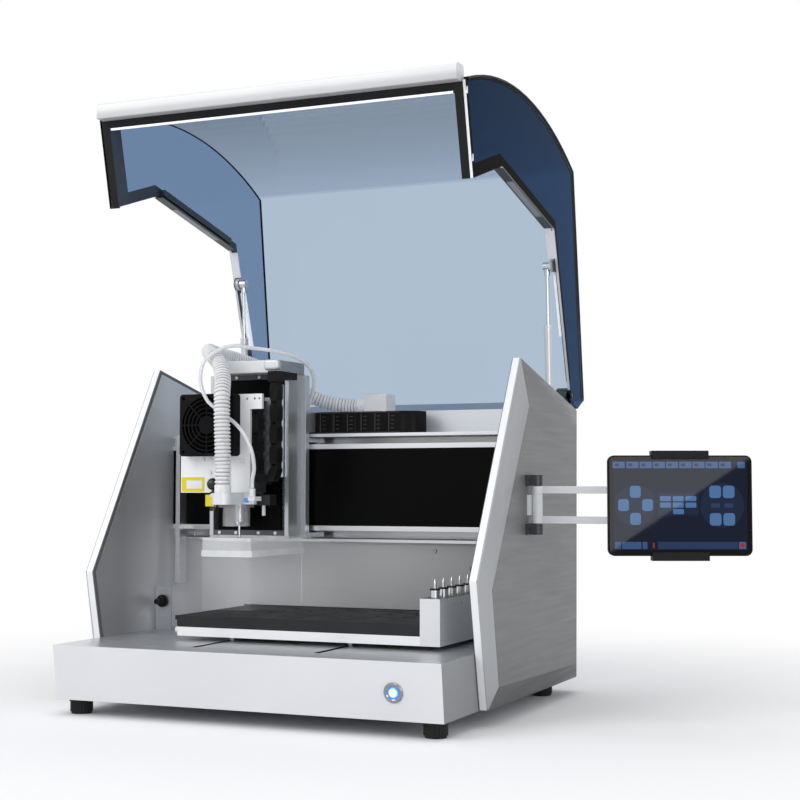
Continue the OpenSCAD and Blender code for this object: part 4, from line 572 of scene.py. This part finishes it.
# Pale metal for the groove and its upper rail: painted light over their shade
brushed("groove_lit", rgb(232, 234, 237), rough=0.4, along=(4, 300, 300), metal=0.2, vary=0.03,
        depth=0.03)
plastic("chain_rib", rgb(46, 46, 49), grain=900.0, peel=0.08, vary=0.08, spec=0.2)
paint("strip_grey", rgb(84, 86, 90), metal=0.2)
brushed("cap_silver", rgb(150, 152, 155), rough=0.3, along=(8, 300, 300), metal=0.45, vary=0.04,
        depth=0.03)
# Pale grey: on the tool rack's side it is painted light over the shade, also on the hood plates'
# lower edges
brushed("rack_side", rgb(206, 209, 213), rough=0.4, along=(200, 8, 200), metal=0.1, vary=0.03,
        depth=0.03)
plastic("tag_yellow", rgb(214, 196, 20), grain=500.0, peel=0.02, vary=0.03)
plastic("connector", rgb(15, 15, 17), rough=0.4, spec=0.3)
brushed("screw_bright", rgb(232, 234, 238), rough=0.3, along=(200, 200, 200), metal=0.4, vary=0.02,
        depth=0.03)
for name, colour in (("navy", (10, 19, 38)), ("panel", (20, 33, 57)), ("key", (72, 108, 154)),
                     ("cell", (62, 92, 140)), ("dim", (42, 56, 86)), ("tag", (52, 78, 122)),
                     ("bar", (34, 52, 88)), ("red", (150, 44, 54))):
    screen("screen_" + name, colour)
screen("screen_glass", (14, 14, 17), strength=0.0)
lit_button("lit_button", 0.177, 0.0455, radius=0.008)

# ------------------------------------------------------------------ hose and air tube
# Radii, rib pitch, cuffs and mesh step in m; the points of both paths in mm, from the
# carriage's own places for hose and tube
HOSE_R, HOSE_SIDES = 0.0096, 22
HOSE_Y, SHOE_TOP = -87, 243.2
RIB, RIB_DEPTH = 0.0043, 0.0014
CUFF_START, CUFF_END = 0.018, 0.014
HOSE_STEP = 0.0005
AIR_R = 0.0022
HOSE_X, AIR_X = -0.082, -0.094
DUST = [
    (0, HOSE_Y, SHOE_TOP - 9), (0, HOSE_Y, SHOE_TOP + 4), (0, HOSE_Y, SHOE_TOP + 26),
    (-1, HOSE_Y, 305), (-2, HOSE_Y + 0.4, 328), (-3, HOSE_Y + 2, 345), (-5, HOSE_Y + 5.5, 358),
    (-11, -70, 374), (-22, -56, 391), (-40, -42, 405), (-59, -18, 412), (-66, 13, 411),
    (-60, 52, 407), (-44, 88, 397), (-16, 116, 376), (15, 136, 359), (47, 147.5, 352.6),
    (74, 150, 351.8),
]
AIR = [
    (47, 56, 341), (52, 54, 356), (58, 50, 372), (61, 42, 386), (58, 26, 399), (48, 4, 407),
    (33, -18, 411), (16, -35, 413), (4, -46, 415), (-11, -57, 410), (-26, -66, 396),
    (-28, -71, 373), (-18, -74.5, 352), (-5, -74, 340), (10, -73.2, 330), (24, -73.5, 319),
    (35, -75, 306), (42, -74, 290), (42, -68.5, 272), (39, -67, SHOE_TOP + 15),
    (39, -67, SHOE_TOP + 5.3),
]
dust_path = [p / 1000 + Vector((HOSE_X, 0, 0)) for p in catmull(DUST, 12)]
air_path = [p / 1000 + Vector((AIR_X, 0, 0)) for p in catmull(AIR, 8)]
fine = []
for a, b in zip(dust_path, dust_path[1:]):
    steps = max(1, int(round((b - a).length / HOSE_STEP)))
    fine += [a.lerp(b, j / steps) for j in range(steps)]
fine.append(dust_path[-1])
HOSE_LENGTH = path_length(fine)


def ribbed(run):
    return CUFF_START <= run <= HOSE_LENGTH - CUFF_END


def ribs(run):
    """Rounded ribs of the hose, with plain cuffs at both ends."""
    if not ribbed(run):
        return HOSE_R
    return HOSE_R - RIB_DEPTH / 2 + RIB_DEPTH / 2 * math.cos(2 * math.pi * run / RIB)


hose = tube("dust_hose_piece", fine, ribs, HOSE_SIDES, "x_carriage", MATS["hose_clear"],
            SLOT["dust_hose"])
hose.data.materials.append(MATS["hose_groove"])
run = 0.0
for i, (a, b) in enumerate(zip(fine, fine[1:])):
    middle = run + (b - a).length / 2
    run += (b - a).length
    if ribbed(middle) and math.cos(2 * math.pi * middle / RIB) < -0.55:
        for p in hose.data.polygons[i * HOSE_SIDES:(i + 1) * HOSE_SIDES]:
            p.material_index = 1
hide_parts("dust_hose")
tuple(dust_path[0])
[tuple(p) for p in dust_path]
air = tube("air_tube_piece", air_path, AIR_R, 14, "x_carriage", MATS["tube_clear"], "clear_film")
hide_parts("air_tube")
tuple(air_path[0])
path_length(air_path)
[tuple(p) for p in air_path]


# ------------------------------------------------------------------ light and floor
def seen_rays(nt):
    """1 for the rays that show the background: seen directly, in metal or through glass."""
    path = add(nt, "LightPath")
    value = path.outputs["Is Camera Ray"]
    for name in ("Is Transmission Ray", "Is Glossy Ray"):
        value = math_node(nt, "MAXIMUM", value, path.outputs[name])
    return value


def mixed(nt, output, factor, first, second):
    both = add(nt, "MixShader", {0: factor, 1: first.outputs[0], 2: second.outputs[0]})
    add(nt, output, {0: both.outputs[0]})


world = bpy.data.worlds.new("studio")
scene.world = world
world.use_nodes = True
wt = world.node_tree
wt.nodes.clear()
mixed(wt, "OutputWorld", seen_rays(wt),
      add(wt, "Background", {"Color": (0.975, 0.98, 0.99, 1), "Strength": 0.62}),
      add(wt, "Background", {"Color": (1, 1, 1, 1), "Strength": 1.0}))


def area(name, location, target, size, power):
    d = bpy.data.lights.new(name, "AREA")
    d.shape = "RECTANGLE"
    d.size, d.size_y = size, size
    d.energy = power
    o = bpy.data.objects.new(name, d)
    scene.collection.objects.link(o)
    o.location = location
    o.rotation_mode = "QUATERNION"
    o.rotation_quaternion = (Vector(target) - Vector(location)).to_track_quat("-Z", "Y")
    return o


ARM = box("swing_arm")[2]
TAB_AT = mm(415, ARM.y, ARM.z)  # middle of the touch panel, level with its arm
area("key", (-1.6, -2.4, 2.2), (0, 0, 0.3), 2.0, 39)
area("top", (0.1, 0.2, 2.8), (0, 0, 0.2), 2.4, 24)
area("fill", (2.2, -1.4, 1.0), (0, 0, 0.3), 1.4, 7)
# Card that the touch panel mirrors up to its diagonal; it shows only in reflections
card = area("card", (1.639, -2.14, 0.455), TAB_AT, 0.62, 10)
card.visible_diffuse = False
card.rotation_quaternion = (card.rotation_quaternion
                            @ Matrix.Rotation(math.radians(34.5), 4, "Z").to_quaternion())

HALF = 9.0
floor_me = bpy.data.meshes.new("floor")
floor_me.from_pydata([(-HALF, -HALF, 0), (HALF, -HALF, 0), (HALF, HALF, 0), (-HALF, HALF, 0)], [],
                     [(0, 1, 2, 3)])
floor = bpy.data.objects.new("floor", floor_me)
scene.collection.objects.link(floor)
floor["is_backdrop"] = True
fm = bpy.data.materials.new("floor")
fm.use_nodes = True
ft = fm.node_tree
ft.nodes.clear()
far = add(ft, "VectorMath", {0: add(ft, "TexCoord").outputs["Object"]}, operation="LENGTH")
# Shadow near the part, white towards the horizon
fade = add(ft, "MapRange", {"Value": far.outputs["Value"], "From Min": 0.42, "From Max": 1.15},
           interpolation_type="SMOOTHSTEP")
mixed(ft, "OutputMaterial", math_node(ft, "MULTIPLY", seen_rays(ft), fade.outputs[0]),
      add(ft, "BsdfDiffuse", {"Color": (0.93, 0.93, 0.94, 1)}),
      add(ft, "Emission", {"Strength": 1.0}))
floor_me.materials.append(fm)

# ------------------------------------------------------------------ CAD nodes that keep their mesh
OWN_LOOK = {"inner_wall": "wall_metal_shaded", "side_liners": "side_metal_shaded", "fan_rotor": "rotor_black",
            "button_cap": "lit_button", "clamp_jaw": "tablet_shell"}
for n in NODES:
    if n not in ("dust_hose", "air_tube"):
        keep(n)

# ------------------------------------------------------------------ pieces with rounded edges
ROUNDED = {
    "base_housing": 0.0012, "side_panel_left": 0.0012, "side_panel_right": 0.0012,
    "z_cap": 0.0012, "z_housing": 0.0006, "spindle_plate": 0.0005, "fan_frame": 0.0005,
    "dust_shoe": 0.0008, "bed_plate": 0.0006, "bed_slab": 0.0005, "tool_rack": 0.0006,
    "handle_bar": 0.0010, "arm_brackets": 0.0006, "swing_arm": 0.0006, "clamp_jaw": 0.0007,
    "hood_brackets": 0.0008, "cable_bracket": 0.0004, "x_carriage": 0.0005, "z_saddle": 0.0005,
    "spindle_housing": 0.0006, "release_lever": 0.0005, "chip_guard": 0.0004,
    "gantry_beam": 0.0005, "electronics_cabinet": 0.0008, "rear_panel": 0.0004,
    "x_chain": 0.0004, "z_chain": 0.0004, "hood_plates": 0.0004, "light_bars": 0.0006,
    "drive_motors": 0.0005, "z_motor": 0.0005,
}
for n, width in ROUNDED.items():
    refined(n, width)

# ------------------------------------------------------------------ second colours on one piece
# Hood: painted shade on the right plate and the sheet's side edges, a darker copy of the plates'
# tint; painted light on the right plate's front edge; the plates' lower and upper edges, trim,
# lights
tint("hood_plates", "plate_navy_shaded", lambda c, n: c.x > 0)
tint("hood_plates", "front_lit_white",
     lambda c, n: c.x > 0 and n.y < -0.85 and c.y < -95 and abs(n.x) < 0.3)
tint("hood_plates", "rack_side",
     lambda c, n: abs(n.x) < 0.3 and n.z < -0.3 and c.y > -105 and c.z > 370)
tint("hood_plates", "seam_black", lambda c, n: abs(n.x) < 0.3 and (n.z > 0.2 or n.y > 0.5))
tint("hood_trim", "band_slate", lambda c, n: n.x * c.x < -100)
tint("hood_trim", "strut_grey",
     lambda c, n: 218.5 < abs(c.x) < 221.2 and 185 < c.y < 203 and 514 < c.z < 532)
tint("hood_sheet", "plate_navy_shaded", lambda c, n: abs(n.x) > 0.9)
tint("light_bars", "band_slate", lambda c, n: abs(c.x) > 205 and c.z > 566)

# Side panels: painted light on the cut corners and the front edge, painted shade on the lower facets
# along the foot
for side, _ in SIDES:
    panel = "side_panel_" + side
    tint(panel, "facet_lit_grey", lambda c, n: 0.2 < abs(n.x) < 0.98 and n.y < -0.02 and n.x * c.x > 0)
    tint(panel, "front_lit_white", lambda c, n: abs(n.x) < 0.15 and n.y < -0.2)
    tint(panel, "facet_low_shaded", lambda c, n: n.x * c.x > 0 and n.z < -0.3 and c.z < 60)

# Base: cable gland, deck, right side darker with painted shade, and the grooves' walls
tint("cable_bracket", "connector",
     lambda c, n: (c.x + 214) ** 2 + (c.z - 112) ** 2 < 60 and not -0.2 < c.y < 2.2)
lo, hi, _ = box("base_housing")
tint("base_housing", "deck_metal", lambda c, n: n.z > 0.9 and c.z > hi.z - 7)
tint("base_housing", "base_side_shaded", lambda c, n: n.x > 0.9 and c.x > hi.x - 30)
tint("base_housing", "connector",
     lambda c, n: abs(n.x) > 0.9 and abs(c.x) < 95 and c.z > hi.z - 17)

# Gantry: cabinet front with painted light, hose port, and painted light in the groove with the upper
# rail
CABINET_TOP = box("rear_panel")[1].z
BEAM_TOP = box("gantry_beam")[1].z
tint("electronics_cabinet", "cabinet_front_lit", lambda c, n: n.y < -0.9 and c.z < CABINET_TOP)
tint("electronics_cabinet", "hose_clear", lambda c, n: c.z > CABINET_TOP + 0.6)
tint("gantry_beam", "groove_lit",
     lambda c, n: n.y < -0.5 and BEAM_TOP - 17 < c.z < BEAM_TOP - 1)
tint("guide_rails", "groove_lit", lambda c, n: c.z > 285)

# Z axis: cap with painted light on its front, housing sides, strips with their screws, plate with
# painted light on its front, and painted highlights on the guard's edges
COVER_LO, COVER_HI, _ = box("z_cover")
STRIP = 6.1
tint("z_cap", "cap_front_lit", lambda c, n: n.y < -0.9)
tint("z_cap", "cap_silver", lambda c, n: n.x > 0.75 and c.y > -28)
tint("z_housing", "housing_grey", lambda c, n: abs(n.x) > 0.9)
tint("z_cover", "strip_grey",
     lambda c, n: c.y < -3.02 and not COVER_LO.z + STRIP <= c.z <= COVER_HI.z - STRIP)
tint("z_cover", "screw_bright", lambda c, n: c.y < -4.25)
tint("spindle_plate", "front_lit_white", lambda c, n: n.y < -0.9)
GUARD_LO, GUARD_HI, _ = box("chip_guard")
CURTAIN_LO, CURTAIN_HI, _ = box("guard_curtain")
tint("chip_guard", "clear_edge_highlight",
     lambda c, n: c.z < GUARD_LO.z + 7.3 or (c.z > GUARD_HI.z - 4 and n.z < 0.5))
tint("guard_curtain", "clear_edge_highlight",
     lambda c, n: ((n.x < -0.9 and c.x < CURTAIN_LO.x + 2)
                   or (n.y > 0.9 and c.y > CURTAIN_HI.y - 3)))

# Dust shoe with its valve, lever, bed with painted light on its front, tools and their rack with
# painted light on its side, and arm bracket
tint("dust_shoe", "connector", lambda c, n: c.x > -57.4 and c.z > 228 and c.y < -36)
tint("dust_shoe", "white_label",
     lambda c, n: -61 < c.x < -47 and c.y < -42 and (c.z < 229.1 or c.y < -53.2 or c.z > 241.4))
tint("release_lever", "strut_grey", lambda c, n: 226 < c.z < 237 and abs(n.y) < 0.3)
tint("bed_plate", "front_lit_white", lambda c, n: n.y < -0.9)
tint("tool_rack", "connector", lambda c, n: n.z > 0.9)
tint("tool_rack", "rack_side", lambda c, n: n.x > 0.9)
tint("rack_tools", "connector", lambda c, n: 139.6 < c.z < 143)
tint("arm_brackets", "arm_white", lambda c, n: 218.5 < c.z < 242 and c.x < 253.4)

# ------------------------------------------------------------------ touch panel
# Glass, screen and plain key shapes, without any sign or letter
TAB = Matrix.Translation(TAB_AT) @ Matrix.Rotation(math.radians(23.4), 4, "Z")
BACK = -20.0
LAYERS = (BACK, -20.15, -20.2, -20.25, -20.3)
ROW_TOP, ROW_FOOT = 42.9, -41.8
shapes = []


def field(layer, outline, colour):
    """One flat field of colour on the given layer of the screen, counted from the glass."""
    shapes.append((outline, LAYERS[layer], LAYERS[layer - 1], "screen_" + colour))


field(1, rounded_rect(0, 0, 149, 103, 5), "glass")
field(2, rounded_rect(0, 0, 141, 93.6, 1), "navy")
for i in range(9):
    x = 13.95 * i
    field(3, rounded_rect(-64.8 + x + (0.6 if i else 0), ROW_TOP, 12.8, 6.9, 0.6), "cell")
    field(4, rounded_rect(-66.5 + x, ROW_TOP, 4.4, 3.2, 1.0), "dim")
field(3, rounded_rect(64.5, ROW_TOP, 7.8, 6.9, 0.6), "cell")
field(3, disc(-47.4, 0.3, 21.7), "panel")
for x, z in ((-47.4, 14.6), (-60.0, 0.6), (-34.6, 0.6), (-47.4, -13.9)):
    field(4, rounded_rect(x, z, 11.4, 12.6, 3.0), "key")
field(3, rounded_rect(-2.3, 1.5, 43, 24, 2), "panel")
for x, z in ((-15.7, 7.5), (-2.3, 7.5), (11.1, 7.5), (-15.7, 0.6), (-2.3, 0.6), (11.1, 0.6),
             (-2.1, -6.2)):
    field(4, rounded_rect(x, z, 11.5, 5.4, 1.2), "key")
field(3, disc(44, 0.3, 23.4), "panel")
for x, z in ((36.8, 14.5), (51.0, 14.5), (37.0, -14.4), (51.3, -14.4)):
    field(4, rounded_rect(x, z, 12.3, 13.1, 3.0), "key")
for x in (37.0, 51.0):
    field(4, rounded_rect(x, 0.2, 9.5, 4.6, 1.2), "dim")
left = -71
for w in (7.5, 21.7, 6.3):
    field(3, rounded_rect(left + w / 2 + 1, ROW_FOOT, w - 1.2, 7.6, 0.6), "tag")
    left += w
field(4, rounded_rect(-28.5, ROW_FOOT, 1.6, 5.6, 0.4), "red")
field(3, rounded_rect(18, ROW_FOOT, 84, 7.6, 0.6), "bar")
field(3, rounded_rect(65, ROW_FOOT, 7.6, 7.6, 0.6), "cell")
field(4, disc(65, ROW_FOOT, 2.6, 24), "red")
flat_shapes("touch_screen", shapes, BODY["tablet"], SLOT["tablet"], TAB)

# ------------------------------------------------------------------ hood seams, strips and clips
# Outline of the bent sheet and of the hood's opening, as (y, z) in mm
FOOT, KNEE, CROWN, END = (302, 361), (262, 653), (63, 707.6), (-117, 682)
LEG_TOP, LEG_FOOT = Vector((-126, 676)), Vector((-102, 576.5))
BEND, MID, LOW = (-10, 607), (180, 566), (246, 357)
OUTER = box("hood_sheet")[1].x
TRIM = SLOT["hood_trim"]


def arc_centre(a, b, c):
    ax, ay, bx, by, cx, cy = *a, *b, *c
    aa, bb, cc = ax * ax + ay * ay, bx * bx + by * by, cx * cx + cy * cy
    d = 2 * (ax * (by - cy) + bx * (cy - ay) + cx * (ay - by))
    ux = (aa * (by - cy) + bb * (cy - ay) + cc * (ay - by)) / d
    uy = (aa * (cx - bx) + bb * (ax - cx) + cc * (bx - ax)) / d
    return Vector((ux, uy))


def hood_line(x, inset, steps=28):
    """Points along the bent sheet's outline, a little inside it."""
    centre = arc_centre(KNEE, CROWN, END)
    a0 = math.atan2(KNEE[1] - centre.y, KNEE[0] - centre.x)
    a1 = math.atan2(END[1] - centre.y, END[0] - centre.x)
    r = (Vector(KNEE) - centre).length - inset
    d = (Vector(KNEE) - Vector(FOOT)).normalized()
    pts = [Vector(FOOT) + Vector((-d.y, d.x)) * inset + d * 3]
    for i in range(steps + 1):
        a = a0 + (a1 - a0) * i / steps
        pts.append(centre + Vector((math.cos(a), math.sin(a))) * r)
    return [mm(x, p.x, p.y) for p in pts]


def edge_strip(name, a, b, t0, t1, out0, out1, xs, material):
    """Thin strip along the hood's opening edge a-b (y, z), mm."""
    d = (Vector(b) - Vector(a)).normalized()
    out = Vector((d.y, -d.x))
    quad = [Vector(a) + d * t + out * o
            for t, o in ((t0, out0), (t1, out0), (t1, out1), (t0, out1))]
    slab(name, quad, xs, "hood", MATS[material], SLOT["light_bars"])


leg = (LEG_FOOT - LEG_TOP).normalized()
behind = Vector((-leg.y, leg.x))
if behind.x < 0:
    behind = -behind
for k, sx in SIDES:
    tube("hood_seam_outer_" + k, hood_line((OUTER - 1) * sx, 1.5), 0.0014, 8, "hood",
         MATS["seam_black"], TRIM)
    tube("hood_seam_inner_" + k, hood_line((OUTER - 4) * sx, 4.4), 0.0006, 8, "hood",
         MATS["seam_black"], TRIM)
    a, b = LEG_TOP + leg * 8 + behind * 2, LEG_FOOT - leg * 3 + behind * 2
    slab("frame_return_" + k, [a, b, b + behind * 21, a + behind * 21],
         ((OUTER - 13) * sx, (OUTER - 12.2) * sx), "hood", MATS["band_slate"], TRIM)
    span = ((OUTER - 12) * sx, (OUTER - 0.8) * sx)
    edge_strip("edge_channel_" + k, BEND, MID, 4, 190, -0.9, 0.3, span, "channel_dark")
    edge_strip("edge_bar_" + k, BEND, MID, 42, 150, -0.5, 0.7,
               ((OUTER - 9.8) * sx, (OUTER - 1.8) * sx), "channel_bar")
    edge_strip("edge_light_" + k, MID, LOW, 2, 36, -0.9, 0.3, span, "arm_white")
for i, t in enumerate((0.09, 0.78)):
    p = LEG_TOP.lerp(LEG_FOOT, t)
    block("plate_clip_%d" % i, (OUTER - 0.6, p.x + 1.5, p.y - 4),
          (OUTER + 0.6, p.x + 4.5, p.y + 3.5), "hood", MATS["screw_bright"], TRIM)
# Seal under the sheet's foot, down to the level of the cabinet's top
block("hood_foot_seal", (14.2 - OUTER, FOOT[0] - 4.4, FOOT[1] - 9.5),
      (OUTER - 14.2, FOOT[0] - 0.6, FOOT[1] + 0.2), "hood", MATS["foot_seal"], TRIM)

# ------------------------------------------------------------------ small pieces
# Gantry chain: rails, link joints and comb ribs on its front
CHAIN_LO, CHAIN_HI, CHAIN_MID = box("x_chain")
LINKS, LINK_PITCH = 8, 18
comb = []


def rib(x, z, w, h, r, proud):
    comb.append((rounded_rect(x, z, w, h, r), CHAIN_LO.y - proud, CHAIN_LO.y, "chain_rib"))


for z in (CHAIN_HI.z - 1.1, CHAIN_LO.z + 1.1):
    rib(CHAIN_LO.x + 75, z, 146, 0.9, 0.3, 0.3)
for i in range(LINKS):
    x = CHAIN_LO.x + 8 + LINK_PITCH * i
    rib(x, CHAIN_MID.z, 1.2, 21, 0.4, 0.4)
    for j in range(4):
        rib(x + 4.6, CHAIN_LO.z + 5.8 + 4.8 * j, 4.6, 0.9, 0.3, 0.3)
flat_shapes("x_chain_comb", comb, BODY["x_chain"], SLOT["x_chain"])

# Black disc behind the fan, painted shade where only shade shows, the bed slot's brushes in the
# inner wall, the cap's round corner
_, hi, mid = box("fan_rotor")
tube("fan_shade", [mm(mid.x, hi.y + back, mid.z) for back in (0.4, 1.1)], 0.0327, 40,
     BODY["fan_frame"], MATS["rotor_black"], SLOT["fan_frame"])
for k, lo, hi in (("top", (-143.6, 65.0, 105.8), (159.6, 66.0, 111.4)),
                  ("left", (-143.6, 65.0, 77.6), (-138.6, 66.0, 105.8))):
    block("slot_brush_" + k, lo, hi, BODY["inner_wall"], MATS["wall_metal_shaded"], SLOT["inner_wall"])
lo, hi, _ = box("z_cap")
corner = block("cap_corner", (hi.x - 16.5, lo.y - 8, lo.z + 2.5),
               (hi.x + 2.5, lo.y + 0.4, hi.z - 0.1), BODY["z_cap"], MATS["corner_silver"],
               SLOT["z_cap"])
soft = corner.modifiers.new("soft", "BEVEL")
soft.width = 0.003
soft.segments = 4
smooth(corner, 60)

# Dust shoe's blue fitting, and the blank yellow patches of plate and lever
tube("air_fitting_dot", [mm(-62, y, 235) for y in (-66, -69.6)], 0.0027, 24, BODY["dust_shoe"],
     MATS["blue_dot"], SLOT["dust_shoe"])
PLATE_FRONT = box("fan_frame")[1].y
flat_shapes("plate_patch",
            [(rounded_rect(-140.5, 253, 31, 17, 0.8), PLATE_FRONT - 0.25, PLATE_FRONT, "tag_yellow"),
             (rounded_rect(-138.5, 253, 21, 9.6, 0.5), PLATE_FRONT - 0.35, PLATE_FRONT - 0.25,
              "white_label")],
            BODY["spindle_plate"], SLOT["spindle_plate"])
flat_shapes("lever_patch", [(rounded_rect(-111.8, 234.5, 11.4, 13.4, 0.8), -65.4, -64.5,
                             "tag_yellow")], BODY["release_lever"], SLOT["release_lever"])

lo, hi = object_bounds()
{"cad": [list(CAD_LO), list(CAD_HI)], "visual": [list(lo), list(hi)]}
